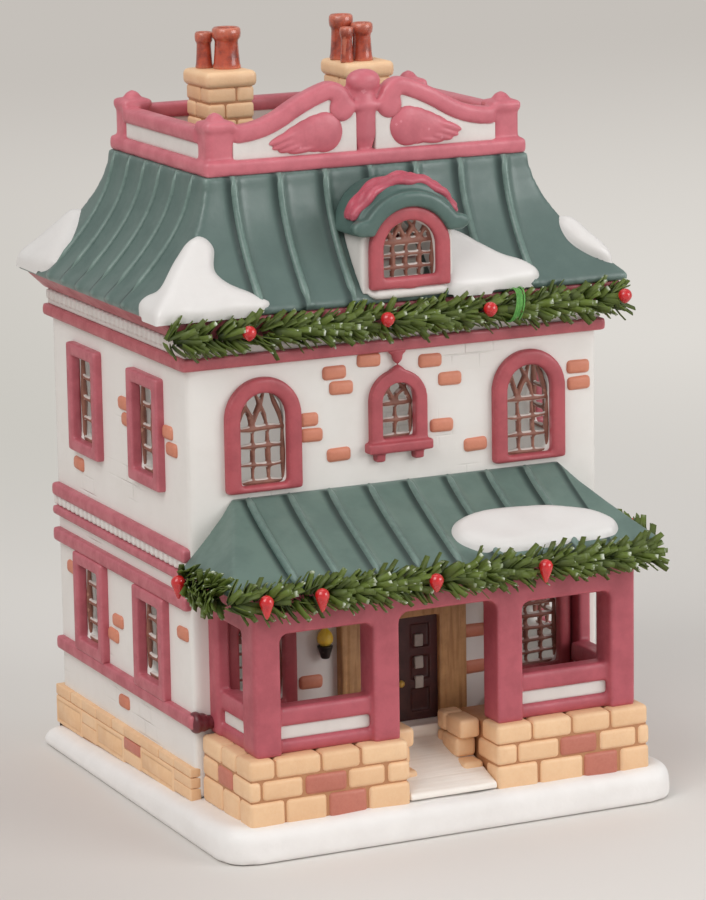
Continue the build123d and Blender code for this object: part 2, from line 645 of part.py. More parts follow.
def make_belts(plane, turn):
    belts = []
    stack = ((SILL_BAND_BOTTOM, SILL_BAND_HEIGHT), (LOWER_BELT_BOTTOM, LOWER_BELT_HEIGHT),
             (THIN_BELT_BOTTOM, THIN_BELT_HEIGHT), (UPPER_BELT_BOTTOM, UPPER_BELT_HEIGHT))
    for low, height in stack:
        belts.append(raised(plane, square_outline(0, BODY_DEPTH, low, low + height), BELT_PROUD))
    low, height = stack[0]
    corner = HALF + BELT_PROUD
    start, end = sorted((turn * corner, turn * (HALF - BELT_RETURN)))
    belts.append(raised(FRONT, bar_outline(start, end, low, low + height), BELT_PROUD))
    return group(belts)


def make_belt_dentils(plane):
    low = BELT_DENTIL_BOTTOM
    bed = raised(plane, square_outline(0, BODY_DEPTH, low, UPPER_BELT_BOTTOM), FRIEZE_PROUD / 2)
    count = int(BODY_DEPTH / DENTIL_PITCH)
    teeth = []
    for step in range(count):
        x = (step - (count - 1) / 2) * DENTIL_PITCH
        outline = square_outline(x, DENTIL_WIDTH, low + BELT_DENTIL_GAP, UPPER_BELT_BOTTOM)
        teeth.append(raised(plane, outline, DENTIL_PROUD, FRIEZE_PROUD / 2))
    return bed + teeth


# Front door

def make_door():
    door = raised(FRONT, square_outline(0, DOOR_WIDTH, LANDING_TOP, DOOR_TOP), DOOR_THICK)
    leaf = DOOR_WIDTH / 2
    pane_height = (DOOR_TOP - LANDING_TOP - 4 * DOOR_RAIL) / 3
    panels = []
    for side in (-1, 1):
        for row in range(3):
            low = LANDING_TOP + DOOR_RAIL + row * (pane_height + DOOR_RAIL)
            outline = square_outline(side * leaf / 2, leaf - 2 * DOOR_RAIL, low, low + pane_height)
            panels.append(raised(FRONT, outline, -DOOR_PANEL_DEPTH, DOOR_THICK))
    return door - panels


def make_pilasters():
    pilasters = []
    for side in (-1, 1):
        x = side * (DOOR_WIDTH + PILASTER_WIDTH) / 2
        pilaster = raised(FRONT, square_outline(x, PILASTER_WIDTH, LANDING_TOP, DOOR_TOP), PILASTER_THICK)
        pitch = PILASTER_WIDTH / (FLUTE_COUNT + 1)
        for step in range(FLUTE_COUNT):
            flute_x = x - PILASTER_WIDTH / 2 + (step + 1) * pitch
            flute = square_outline(flute_x, FLUTE_WIDTH, LANDING_TOP, DOOR_TOP)
            pilaster -= raised(FRONT, flute, -FLUTE_WIDTH, PILASTER_THICK)
        pilasters.append(pilaster)
    return group(pilasters)


def make_lintel():
    width = DOOR_WIDTH + 2 * PILASTER_WIDTH
    return raised(FRONT, square_outline(0, width, DOOR_TOP, DOOR_TOP + LINTEL_HEIGHT), PILASTER_THICK)


def make_knob():
    place = FRONT.offset(DOOR_THICK) * Pos(-DOOR_RAIL / 2, LANDING_TOP + KNOB_LIFT)
    stem = place * Pos(0, 0, KNOB_STEM / 2) * Cylinder(KNOB_RADIUS / 2, KNOB_STEM)
    return stem + place * Pos(0, 0, KNOB_STEM + KNOB_RADIUS / 2) * Sphere(KNOB_RADIUS)


def make_lantern_cups():
    cups = []
    for out in LANTERN_PLACES:
        x = math.copysign(BAY_START, out) + out
        centre = FRONT.offset(LANTERN_RADIUS) * Pos(x, LANDING_TOP + LANTERN_LIFT)
        cup = centre * Rot(-90, 0, 0) * Pos(0, 0, LANTERN_CUP_HEIGHT / 2)
        cups.append(cup * Cone(LANTERN_RADIUS / 2, LANTERN_RADIUS, LANTERN_CUP_HEIGHT))
    return group(cups)


def make_lantern_glasses():
    glasses = []
    for out in LANTERN_PLACES:
        x = math.copysign(BAY_START, out) + out
        low = LANDING_TOP + LANTERN_LIFT + LANTERN_CUP_HEIGHT
        centre = FRONT.offset(LANTERN_RADIUS) * Pos(x, low)
        glass = centre * Rot(-90, 0, 0) * Pos(0, 0, LANTERN_GLASS_HEIGHT / 2)
        glasses.append(glass * Cone(LANTERN_RADIUS, LANTERN_RADIUS * LANTERN_TAPER, LANTERN_GLASS_HEIGHT))
    return group(glasses)


# Porch

def brick_course(plane, length, low, high, offset):
    bricks = []
    edge = -length / 2
    x = edge - offset
    while x < length / 2:
        start = max(x, edge)
        end = min(x + PLINTH_BRICK, length / 2)
        if end - start > 3 * PLINTH_JOINT:
            outline = bar_outline(start + PLINTH_JOINT / 2, end - PLINTH_JOINT / 2, low, high - PLINTH_JOINT)
            bricks.append(raised(plane, outline, PLINTH_BRICK_PROUD))
        x += PLINTH_BRICK
    return bricks


def make_plinth(side):
    inset = PLINTH_BRICK_PROUD
    x_inner = side * (PLINTH_INNER + inset)
    x_outer = side * (PLINTH_OUTER - inset)
    x_low, x_high = sorted((x_inner, x_outer))
    front = PORCH_FRONT + inset
    core = block(x_low, x_high, front, HOUSE_FRONT, 0, PLINTH_TOP)
    mid_x = (x_low + x_high) / 2
    mid_y = (front + HOUSE_FRONT) / 2
    front_face = Plane(origin=(mid_x, front, 0), x_dir=(1, 0, 0), z_dir=(0, -1, 0))
    left_face = Plane(origin=(x_low, mid_y, 0), x_dir=(0, -1, 0), z_dir=(-1, 0, 0))
    right_face = Plane(origin=(x_high, mid_y, 0), x_dir=(0, 1, 0), z_dir=(1, 0, 0))
    course = (PLINTH_TOP - BASE_FRONT_HEIGHT) / PLINTH_COURSES
    bricks = []
    for step in range(PLINTH_COURSES):
        high = PLINTH_TOP - step * course
        low = high - course if step < PLINTH_COURSES - 1 else 0
        offset = (step % 2) * PLINTH_BRICK / 2
        bricks += brick_course(front_face, x_high - x_low, low, high, offset)
        bricks += brick_course(left_face, HOUSE_FRONT - front, low, high, offset)
        bricks += brick_course(right_face, HOUSE_FRONT - front, low, high, PLINTH_BRICK / 2 - offset)
    landing = block(-LANDING_HALF, LANDING_HALF, HOUSE_FRONT - LANDING_DEPTH, HOUSE_FRONT, 0, PLINTH_TOP)
    return on_ground(core + bricks - landing)


def make_walk():
    half = PLINTH_INNER
    landing_front = HOUSE_FRONT - LANDING_DEPTH
    profile = Polyline(
        (PORCH_FRONT, 0), (landing_front, 0),
        (landing_front, RAMP_TOP), (PORCH_FRONT, RAMP_FOOT), close=True)
    side = Plane(origin=(-half, 0, 0), x_dir=(0, 1, 0), z_dir=(1, 0, 0))
    walk = extrude(side * make_face(profile), amount=2 * half)
    board = (landing_front - PORCH_FRONT) / RAMP_BOARDS
    rise = (RAMP_TOP - RAMP_FOOT) / RAMP_BOARDS
    for step in range(1, RAMP_BOARDS):
        y = PORCH_FRONT + step * board
        height = RAMP_FOOT + step * rise
        walk -= block(-half, half, y, y + RAMP_GROOVE, height - RAMP_GROOVE, height + rise)
    landing = block(-LANDING_HALF, LANDING_HALF, landing_front, HOUSE_FRONT, 0, LANDING_TOP)
    return on_ground(landing + walk)


def post_spans():
    half = POST_WIDTH / 2
    return [(x - half, x + half) for x in (-OUTER_POST_X, -INNER_POST_X, INNER_POST_X, OUTER_POST_X)]


def make_posts():
    posts = [block(low, high, POST_FRONT, POST_BACK, PLINTH_TOP, BEAM_BOTTOM) for low, high in post_spans()]
    outer = OUTER_POST_X + POST_WIDTH / 2
    for side in (-1, 1):
        low, high = sorted((side * outer, side * (outer - WALL_POST_WIDTH)))
        posts.append(block(low, high, HOUSE_FRONT - WALL_POST_DEPTH, HOUSE_FRONT, PLINTH_TOP, SIDE_BAY_TOP))
    return group(posts)


def bay_bars(low, high, depth):
    spans = post_spans()
    bars = []
    mid_y = (POST_FRONT + POST_BACK) / 2
    for first, second in ((spans[0], spans[1]), (spans[2], spans[3])):
        bars.append(block(first[1], second[0], mid_y - depth / 2, mid_y + depth / 2, low, high))
    for x in (-OUTER_POST_X, OUTER_POST_X):
        bars.append(block(x - depth / 2, x + depth / 2, POST_BACK, HOUSE_FRONT - WALL_POST_DEPTH, low, high))
    return bars


def make_porch_rails():
    low = PLINTH_TOP + BALUSTER_BOTTOM_RAIL + BALUSTER_PANEL
    bars = bay_bars(PLINTH_TOP, PLINTH_TOP + BALUSTER_BOTTOM_RAIL, BALUSTER_RAIL_DEPTH)
    return group(bars + bay_bars(low, low + BALUSTER_TOP_RAIL, BALUSTER_RAIL_DEPTH))


def make_porch_panels():
    low = PLINTH_TOP + BALUSTER_BOTTOM_RAIL
    return group(bay_bars(low, low + BALUSTER_PANEL, BALUSTER_PANEL_DEPTH))


def bay_cut(x_low, x_high, high):
    radius = min(BAY_CORNER_RADIUS, (high - BEAM_BOTTOM) * 0.95)
    outline = bar_outline(x_low, x_high, BEAM_BOTTOM - BAY_CORNER_RADIUS, high)
    outline = fillet(outline.vertices().sort_by(Axis.Y)[-2:], radius)
    plane = Plane(origin=(0, POST_BACK, 0), x_dir=(1, 0, 0), z_dir=(0, -1, 0))
    return extrude(plane * outline, amount=POST_DEPTH)


def make_beams():
    spans = post_spans()
    front = block(spans[0][0], spans[-1][1], POST_FRONT, POST_BACK, BEAM_BOTTOM, BEAM_TOP)
    tops = (SIDE_BAY_TOP, MIDDLE_BAY_TOP, SIDE_BAY_TOP)
    front -= [bay_cut(spans[step][1], spans[step + 1][0], tops[step]) for step in range(3)]
    beams = [front]
    for low, high in (spans[0], spans[-1]):
        beams.append(block(low, high, POST_BACK, HOUSE_FRONT, SIDE_BAY_TOP, BEAM_TOP))
    return group(beams)


# Porch roof: a lean-to with hipped ends that flares a little at the eave

def porch_half(t):
    run = PORCH_ROOF_EAVE_HALF - PORCH_ROOF_TOP_HALF
    return PORCH_ROOF_EAVE_HALF - run * (1 - (1 - t) ** PORCH_ROOF_FLARE)


def porch_front(t):
    return PORCH_EAVE + (HOUSE_FRONT - PORCH_ROOF_LIP - PORCH_EAVE) * (1 - (1 - t) ** PORCH_ROOF_FLARE)


def porch_height(t):
    return BEAM_TOP + PORCH_ROOF_EDGE + (PORCH_ROOF_TOP - BEAM_TOP - PORCH_ROOF_EDGE) * t


def porch_level(half, front, height):
    return Pos(0, (front + HOUSE_FRONT) / 2, height) * Rectangle(2 * half, HOUSE_FRONT - front)


def porch_envelope(grow):
    steps = [step / 4 for step in range(5)]
    levels = [porch_level(porch_half(0) + grow, porch_front(0) - grow, BEAM_TOP)]
    levels += [porch_level(porch_half(t) + grow, porch_front(t) - grow, porch_height(t)) for t in steps]
    return loft(levels, ruled=True)


def porch_seam(x):
    steps = [step / 8 for step in range(9)]
    top = [(porch_front(t) - SEAM_HEIGHT / 2, porch_height(t) + SEAM_HEIGHT / 2) for t in steps]
    root = [(porch_front(t) + SEAM_ROOT, porch_height(t) - SEAM_ROOT) for t in reversed(steps)]
    plane = Plane(origin=(x - SEAM_WIDTH / 2, 0, 0), x_dir=(0, 1, 0), z_dir=(1, 0, 0))
    return extrude(plane * make_face(Polyline(*top, *root, close=True)), amount=SEAM_WIDTH)


def make_porch_solid():
    seams = []
    side_count = int((PORCH_ROOF_TOP_HALF - abs(PORCH_SEAM_START) - SEAM_EDGE) / PORCH_SEAM_PITCH)
    for step in range(-side_count, side_count + 1):
        seams.append(porch_seam(PORCH_SEAM_START + step * PORCH_SEAM_PITCH))
    return porch_envelope(0.0) + seams - block(-REACH, REACH, HOUSE_FRONT, REACH, 0, REACH)


def make_porch_roof(solid):
    shell = PORCH_ROOF_SHELL
    back = HOUSE_FRONT - shell
    foot_half = OUTER_POST_X - POST_WIDTH / 2
    foot = Pos(0, (POST_BACK + back) / 2, BEAM_TOP) * Rectangle(2 * foot_half, back - POST_BACK)
    top_front = porch_front(PORCH_HOLLOW_TOP) + 2 * shell
    top_half = foot_half - shell
    top_height = porch_height(PORCH_HOLLOW_TOP) - shell / 2
    top = Pos(0, (top_front + back) / 2, top_height) * Rectangle(2 * top_half, back - top_front)
    return solid - loft([foot, top], ruled=True)


# Mansard roof: its slopes flare out to the eave along one curve

def roof_share(t):
    return 1 - (1 - t) ** ROOF_FLARE


def roof_half(t):
    return EAVE_HALF - ROOF_SIDE_RUN * roof_share(t)


def roof_half_depth(t):
    return EAVE_HALF_DEPTH - ROOF_FRONT_RUN * roof_share(t)


def roof_height(t):
    return EAVE_TOP + (ROOF_TOP - EAVE_TOP) * t


ROOF_STEPS = [step / ROOF_LEVELS for step in range(ROOF_LEVELS + 1)]


def roof_level(half, half_depth, height):
    return Pos(0, HOUSE_MID, height) * Rectangle(2 * half, 2 * half_depth)


def roof_loft(grow, low, top):
    levels = [roof_level(roof_half(0) + grow, roof_half_depth(0) + grow, low)]
    for t in ROOF_STEPS:
        if roof_height(t) < top:
            levels.append(roof_level(roof_half(t) + grow, roof_half_depth(t) + grow, roof_height(t)))
    levels.append(roof_level(roof_half(1) + grow, roof_half_depth(1) + grow, top))
    return loft(levels, ruled=True)


def roof_seam(plane, reach):
    top = [(reach(t) + SEAM_HEIGHT, roof_height(t)) for t in ROOF_STEPS]
    root = [(reach(t) - SEAM_ROOT, roof_height(t)) for t in reversed(ROOF_STEPS)]
    outline = make_face(Polyline(*top, *root, close=True))
    return extrude(plane.offset(-SEAM_WIDTH / 2) * outline, amount=SEAM_WIDTH)


def roof_seams():
    seams = []
    front_count = int((ROOF_TOP_HALF - SEAM_EDGE) / FRONT_SEAM_PITCH)
    side_count = int((ROOF_TOP_HALF_DEPTH - SEAM_EDGE) / SIDE_SEAM_PITCH + 0.5)
    for step in range(-front_count, front_count + 1):
        x = step * FRONT_SEAM_PITCH
        for y_dir in (-1, 1):
            plane = Plane(origin=(x, HOUSE_MID, 0), x_dir=(0, y_dir, 0), z_dir=(y_dir, 0, 0))
            seams.append(roof_seam(plane, roof_half_depth))
    for step in range(-side_count, side_count):
        y = HOUSE_MID + (step + 0.5) * SIDE_SEAM_PITCH
        for x_dir in (-1, 1):
            plane = Plane(origin=(0, y, 0), x_dir=(x_dir, 0, 0), z_dir=(0, -x_dir, 0))
            seams.append(roof_seam(plane, roof_half))
    return seams


def dormer_tunnel():
    plane = Plane(origin=(DORMER_X, EAVE_FRONT, 0), x_dir=(1, 0, 0), z_dir=(0, -1, 0))
    return extrude(plane * arch_outline(0, *DORMER_HOLE), amount=-DORMER_RUN)


def make_roof(envelope):
    hollow = roof_loft(-ROOF_SHELL, FASCIA_TOP, ROOF_TOP - ROOF_SHELL)
    return envelope - hollow - dormer_tunnel()


# Dormer: a round-headed box on the front slope under a curved hood

DORMER_FRONT = EAVE_FRONT + DORMER_SETBACK
DORMER_FACE = Plane(origin=(DORMER_X, DORMER_FRONT, 0), x_dir=(1, 0, 0), z_dir=(0, -1, 0))


def make_dormer(envelope):
    outline = arch_outline(0, 2 * DORMER_HALF_WIDTH, DORMER_BOTTOM, DORMER_TOP)
    body = extrude(DORMER_FACE * outline, amount=-DORMER_RUN)
    return (body - envelope - dormer_tunnel()).solids().sort_by(SortBy.VOLUME)[-1]


def hood_arch(inner, outer, centre, low):
    ring = Pos(0, centre) * (Circle(outer) - Circle(inner))
    return ring & bar_outline(-outer, outer, low, low + 2 * outer)


def make_hood(envelope):
    low = DORMER_ARCH_CENTRE + DORMER_HOOD_FOOT
    arch = hood_arch(DORMER_HALF_WIDTH, DORMER_HALF_WIDTH + DORMER_HOOD_THICK, DORMER_ARCH_CENTRE, low)
    hood = extrude(DORMER_FACE * arch, amount=-DORMER_RUN)
    frame_half = DORMER_OPENING / 2 + DORMER_BORDER
    centre = DORMER_FRAME_TOP - frame_half
    inner = frame_half + DORMER_RIM_GAP
    outer = inner + DORMER_RIM_THICK
    toe_long, toe_tall = DORMER_RIM_TOE
    toe_x = math.sqrt(outer ** 2 - (low - centre) ** 2) - DORMER_RIM_TOE_OUT
    rim = hood_arch(inner, outer, centre, low)
    for side in (-1, 1):
        rim += Pos(side * toe_x, low + toe_tall) * Ellipse(toe_long, toe_tall)
    rim -= Pos(0, centre) * Circle(inner)
    hood += extrude(DORMER_FACE * rim, amount=DORMER_RIM_DEPTH)
    return (hood - envelope).solids().sort_by(SortBy.VOLUME)[-1]


def make_ribbon():
    inner = DORMER_HALF_WIDTH + DORMER_HOOD_THICK
    outer = inner + RIBBON_THICK
    wedge_x = 2 * outer * math.sin(math.radians(RIBBON_SPAN))
    wedge_z = 2 * outer * math.cos(math.radians(RIBBON_SPAN))
    wedge = make_face(Polyline((0, 0), (wedge_x, wedge_z), (wedge_x, 3 * outer), (-wedge_x, 3 * outer),
                               (-wedge_x, wedge_z), close=True))
    band = (Circle(outer) - Circle(inner)) & wedge
    start = DORMER_FACE.offset(-RIBBON_SETBACK)
    return extrude(start * Pos(0, DORMER_ARCH_CENTRE) * band, amount=-RIBBON_WIDTH)


def make_dormer_frame():
    outer = arch_outline(0, DORMER_OPENING + 2 * DORMER_BORDER, DORMER_FRAME_BOTTOM, DORMER_FRAME_TOP)
    return extrude(DORMER_FACE * (outer - arch_outline(0, *DORMER_HOLE)), amount=FRAME_PROUD)


def make_dormer_lattice():
    sketch = lattice_outline(arch_outline, 0, *DORMER_HOLE, 4, 5)
    return extrude(DORMER_FACE.offset(-LATTICE_REVEAL) * sketch, amount=-LATTICE_THICK)


# Parapet

CURB_HALF = ROOF_TOP_HALF - CURB_INSET
CURB_HALF_DEPTH = ROOF_TOP_HALF_DEPTH - CURB_INSET
PARAPET_POST_X = CURB_HALF - PARAPET_POST_INSET - PARAPET_POST / 2
PARAPET_POST_Y = CURB_HALF_DEPTH - PARAPET_POST_INSET - PARAPET_POST / 2
PARAPET_POST_TOP = PARAPET_PANEL_TOP + PARAPET_RAIL_HEIGHT
POST_CAP_TOP = PARAPET_POST_TOP + POST_CAP_HEIGHT
SCROLL_LOW = CURB_TOP + SCROLL_LOW_RISE
SCROLL_TURN = CURB_TOP + SCROLL_TURN_RISE
SCROLL_CREST = CURB_TOP + SCROLL_CREST_RISE
SCROLL_END = CURB_TOP + SCROLL_END_RISE
CENTRE_POST_TOP = CURB_TOP + CENTRE_POST_HEIGHT
CHIMNEY_X = CURB_HALF - CURB_WIDTH - CHIMNEY_SIDE_GAP
CHIMNEY_Y = CURB_HALF_DEPTH - CURB_WIDTH - STACK_DEPTH / 2 - CHIMNEY_GAP


def make_curb():
    curbs = []
    for side in (-1, 1):
        y_low, y_high = sorted((side * CURB_HALF_DEPTH, side * (CURB_HALF_DEPTH - CURB_WIDTH)))
        curbs.append(block(-CURB_HALF, CURB_HALF, HOUSE_MID + y_low, HOUSE_MID + y_high, ROOF_TOP, CURB_TOP))
        x_low, x_high = sorted((side * CURB_HALF, side * (CURB_HALF - CURB_WIDTH)))
        reach = CURB_HALF_DEPTH - CURB_WIDTH
        curbs.append(block(x_low, x_high, HOUSE_MID - reach, HOUSE_MID + reach, ROOF_TOP, CURB_TOP))
    return group(curbs)


def parapet_bar(side_x, side_y, inset, thick, low, high):
    half_post = PARAPET_POST / 2
    if side_y:
        face = CURB_HALF_DEPTH - inset
        y_low, y_high = sorted((side_y * face, side_y * (face - thick)))
        x = PARAPET_POST_X - half_post
        return block(-x, x, HOUSE_MID + y_low, HOUSE_MID + y_high, low, high)
    x_low, x_high = sorted((side_x * (CURB_HALF - inset), side_x * (CURB_HALF - inset - thick)))
    y = PARAPET_POST_Y - half_post
    return block(x_low, x_high, HOUSE_MID - y, HOUSE_MID + y, low, high)


PLAIN_SIDES = ((-1, 0), (1, 0), (0, 1))


def make_parapet_panels():
    inset = PARAPET_PANEL_INSET
    thick = PARAPET_PANEL_THICK
    panels = [parapet_bar(*side, inset, thick, CURB_TOP, PARAPET_PANEL_TOP) for side in PLAIN_SIDES]
    return group(panels)


def make_parapet_rails():
    inset = PARAPET_PANEL_INSET - (PARAPET_RAIL_WIDTH - PARAPET_PANEL_THICK) / 2
    high = PARAPET_PANEL_TOP + PARAPET_RAIL_HEIGHT
    wide = PARAPET_RAIL_WIDTH
    return group([parapet_bar(*side, inset, wide, PARAPET_PANEL_TOP, high) for side in PLAIN_SIDES])


def make_parapet_posts():
    posts = []
    for x in (-PARAPET_POST_X, PARAPET_POST_X):
        for y in (HOUSE_MID - PARAPET_POST_Y, HOUSE_MID + PARAPET_POST_Y):
            half = PARAPET_POST / 2
            post = block(x - half, x + half, y - half, y + half, CURB_TOP, PARAPET_POST_TOP)
            wide = half + POST_CAP_OVERHANG
            post += block(x - wide, x + wide, y - wide, y + wide, PARAPET_POST_TOP, POST_CAP_TOP)
            ball = Pos(x, y, POST_CAP_TOP) * Sphere(POST_BALL_RADIUS)
            posts.append(post + ball)
    return group(posts)


PARAPET_FACE = Plane(origin=(0, HOUSE_MID - CURB_HALF_DEPTH + PARAPET_PANEL_INSET, 0), x_dir=(1, 0, 0),
                     z_dir=(0, -1, 0))
SCROLL_START_X = PARAPET_POST_X - PARAPET_POST / 2 - POST_CAP_OVERHANG


def scroll_line(side):
    low = (side * SCROLL_START_X, SCROLL_LOW)
    turn = (side * SCROLL_TURN_X, SCROLL_TURN)
    crest = (side * SCROLL_CREST_X, SCROLL_CREST)
    sweep = TangentArc(low, turn, tangent=(-side, 0))
    rise = TangentArc(turn, crest, tangent=sweep % 1)
    curl = TangentArc(crest, (side * SCROLL_END_X, SCROLL_END), tangent=rise % 1)
    return sweep + rise + curl


def scroll_outline(side):
    disc = Pos(side * SCROLL_END_X, SCROLL_END) * Circle(SCROLL_DISC)
    centre_room = square_outline(0, CENTRE_POST_WIDTH, CURB_TOP, REACH)
    corner_room = square_outline(side * PARAPET_POST_X, PARAPET_POST + 2 * POST_CAP_OVERHANG, CURB_TOP, REACH)
    return trace(scroll_line(side), SCROLL_WIDTH) + disc - centre_room - corner_room


def make_scrolls():
    start = (SCROLL_DEPTH - PARAPET_PANEL_THICK) / 2
    return group([raised(PARAPET_FACE, scroll_outline(side), -SCROLL_DEPTH, start) for side in (-1, 1)])


def make_front_panels():
    panels = []
    for side in (-1, 1):
        inner = side * CENTRE_POST_WIDTH / 2
        outer = side * (PARAPET_POST_X - PARAPET_POST / 2)
        line = scroll_line(side)
        rim = Polyline(
            (side * SCROLL_END_X, SCROLL_END), (inner, SCROLL_END), (inner, CURB_TOP),
            (outer, CURB_TOP), (outer, SCROLL_LOW), (side * SCROLL_START_X, SCROLL_LOW))
        field = make_face(line.edges() + rim.edges())
        field -= scroll_outline(side)
        cap_width = PARAPET_POST + 2 * POST_CAP_OVERHANG
        field -= square_outline(side * PARAPET_POST_X, cap_width, PARAPET_POST_TOP, REACH)
        panel = raised(PARAPET_FACE, field, -PARAPET_PANEL_THICK)
        panels.append(panel.solids().sort_by(SortBy.VOLUME)[-1])
    return group(panels)


def make_centre_post():
    start = (SCROLL_DEPTH - PARAPET_PANEL_THICK) / 2
    shaft = square_outline(0, CENTRE_POST_WIDTH, CURB_TOP, CENTRE_POST_TOP)
    post = raised(PARAPET_FACE, shaft, -SCROLL_DEPTH, start)
    half = CENTRE_CAP_WIDTH / 2
    eave = CENTRE_POST_TOP + CENTRE_CAP_EDGE
    upper_half = bar_outline(-half, half, eave, eave + CENTRE_CAP_RISE)
    dome = Pos(0, eave) * Ellipse(half, CENTRE_CAP_RISE) & upper_half
    dome += bar_outline(-half, half, CENTRE_POST_TOP, eave)
    depth = SCROLL_DEPTH + 2 * CENTRE_CAP_OVERHANG
    cap = raised(PARAPET_FACE, dome, -depth, start + CENTRE_CAP_OVERHANG)
    return post + cap


def make_leaves():
    leaves = []
    room = trace(scroll_line(1), SCROLL_WIDTH) + Pos(SCROLL_END_X, SCROLL_END) * Circle(SCROLL_DISC)
    for side in (-1, 1):
        leaf = Sketch()
        for share, rise, length, width, turn in LEAF_BLADES:
            leaf += Pos(share * SCROLL_START_X, CURB_TOP + rise) * Rot(0, 0, turn) * Ellipse(length, width)
        leaf -= room
        leaf = leaf if side > 0 else mirror(leaf, Plane.YZ)
        leaves.append(raised(PARAPET_FACE, leaf, LEAF_PROUD))
    return group(leaves)


# Chimneys

def chimney_place(side):
    return Pos(side * CHIMNEY_X, HOUSE_MID + CHIMNEY_Y, 0)


def make_chimney(side):
    stack = Pos(0, 0, ROOF_TOP + STACK_HEIGHT / 2) * Box(STACK_WIDTH, STACK_DEPTH, STACK_HEIGHT)
    course = STACK_HEIGHT / STACK_COURSES
    inner = Box(STACK_WIDTH - 2 * STACK_JOINT_DEPTH, STACK_DEPTH - 2 * STACK_JOINT_DEPTH, STACK_JOINT)
    sleeve = Box(STACK_WIDTH, STACK_DEPTH, STACK_JOINT) - inner
    for step in range(1, STACK_COURSES):
        stack -= Pos(0, 0, ROOF_TOP + step * course) * sleeve
    wide = STACK_WIDTH + 2 * STACK_CAP_OVERHANG
    deep = STACK_DEPTH + 2 * STACK_CAP_OVERHANG
    cap = Pos(0, 0, STACK_TOP + STACK_CAP_HEIGHT / 2) * Box(wide, deep, STACK_CAP_HEIGHT)
    cap = fillet(cap.edges(), STACK_CAP_RADIUS)
    return chimney_place(side) * (stack + cap)


def make_pot(x, y, radius, collar, height):
    foot = STACK_TOP + STACK_CAP_HEIGHT
    top = height - POT_COLLAR
    outline = Polyline((0, 0), (radius, 0), (radius, top - (collar - radius)), (collar, top), (collar, height),
                       (radius - POT_FLUE_WALL, height), (radius - POT_FLUE_WALL, height / 2), (0, height / 2),
                       close=True)
    pot = revolve(Plane.XZ * make_face(outline), Axis.Z)
    return Pos(x, y, foot) * pot


def make_pots(side, pots):
    return group([chimney_place(side) * make_pot(*pot) for pot in pots])


# Snow: a slice of the thickened roof inside a drawn patch, clear of the roof itself

def corner_room(points):
    rooms = []
    for step, corner in enumerate(points):
        before = Vector(*points[step - 1]) - Vector(*corner)
        after = Vector(*points[(step + 1) % len(points)]) - Vector(*corner)
        half_turn = math.radians(before.get_angle(after)) / 2
        rooms.append(min(before.length, after.length) / 2 * math.tan(half_turn))
    return min(rooms)


def snow_patch(points, thick_roof, clear_of):
    face = make_face(Polyline(*points, close=True))
    face = fillet(face.vertices(), min(SNOW_CORNER, SNOW_CORNER_SHARE * corner_room(points)))
    prism = extrude(face, amount=REACH)
    return (prism & thick_roof) - clear_of


def hip_point(side, end, t, along_x=0.0, along_y=0.0):
    x = side * (roof_half(t) - along_x)
    y = HOUSE_MID + end * (roof_half_depth(t) - along_y)
    return (x, y)


def corner_star(side, end, side_run, front_run, climb):
    return [
        hip_point(side, end, 0, -SNOW_THICK, 0.0),
        hip_point(side, end, 0, -SNOW_THICK, side_run),
        hip_point(side, end, STAR_NOTCH, 0.0, side_run * STAR_SIDE_SHARE),
        hip_point(side, end, climb, 0.0, STAR_TIP),
        hip_point(side, end, climb, STAR_TIP, 0.0),
        hip_point(side, end, STAR_NOTCH, front_run * STAR_FRONT_SHARE, 0.0),
        hip_point(side, end, 0, front_run, 0.0),
    ]


def make_roof_snow(envelope, dormer):
    thick = roof_loft(SNOW_THICK, EAVE_TOP - EAVE_EDGE, ROOF_TOP)
    stars = [corner_star(-1, -1, *FRONT_STAR), corner_star(-1, 1, *BACK_STAR)]
    hip = [hip_point(1, -1, *place) for place in HIP_SNOW]
    dormer_side = DORMER_X + DORMER_HALF_WIDTH
    beside = [(dormer_side + run, HOUSE_MID - roof_half_depth(t)) for run, t in DORMER_SNOW]
    patches = [snow_patch(points, thick, envelope) for points in (*stars, hip)]
    return group([*patches, snow_patch(beside, thick, [envelope, *dormer])])


def make_porch_snow(porch_solid):
    low, high = [porch_front(t) for t in PORCH_SNOW_RUN]
    oval = Pos(PORCH_SNOW_X, (low + high) / 2) * Ellipse(PORCH_SNOW_HALF, (high - low) / 2)
    return (extrude(oval, amount=REACH) & porch_envelope(SNOW_THICK)) - porch_solid


# Garlands

def strand(start, direction):
    plane = Plane(origin=start, z_dir=direction)
    return extrude(plane * RegularPolygon(NEEDLE_RADIUS, 3), amount=GARLAND_CORE / 2 + NEEDLE_LENGTH)


def needles(length, along, outward, centre, berries):
    stems = []
    count = int((length - NEEDLE_PITCH) / NEEDLE_PITCH)
    lean = math.sin(math.radians(NEEDLE_LEAN))
    spread = math.cos(math.radians(NEEDLE_LEAN))
    for step in range(count):
        run = (step - (count - 1) / 2) * NEEDLE_PITCH
        for angle in NEEDLE_ANGLES[step % len(NEEDLE_ANGLES)]:
            near_berry = any(BERRY_ROOM[0] < run - berry < BERRY_ROOM[1] for berry in berries)
            if near_berry and abs(angle) < 60:
                continue
            out = spread * math.cos(math.radians(angle))
            rise = spread * math.sin(math.radians(angle))
            start = centre + along * run
            stems.append(strand(start, along * lean + outward * out + Vector(0, 0, rise)))
    return stems


def berry(centre, outward):
    start = centre + outward * (GARLAND_CORE / 2)
    plane = Plane(origin=start, z_dir=outward)
    stem = plane * Pos(0, 0, BERRY_STEM / 2) * Cylinder(BERRY_STEM_RADIUS, BERRY_STEM)
    return stem + plane * Pos(0, 0, BERRY_STEM) * Sphere(BERRY_RADIUS)


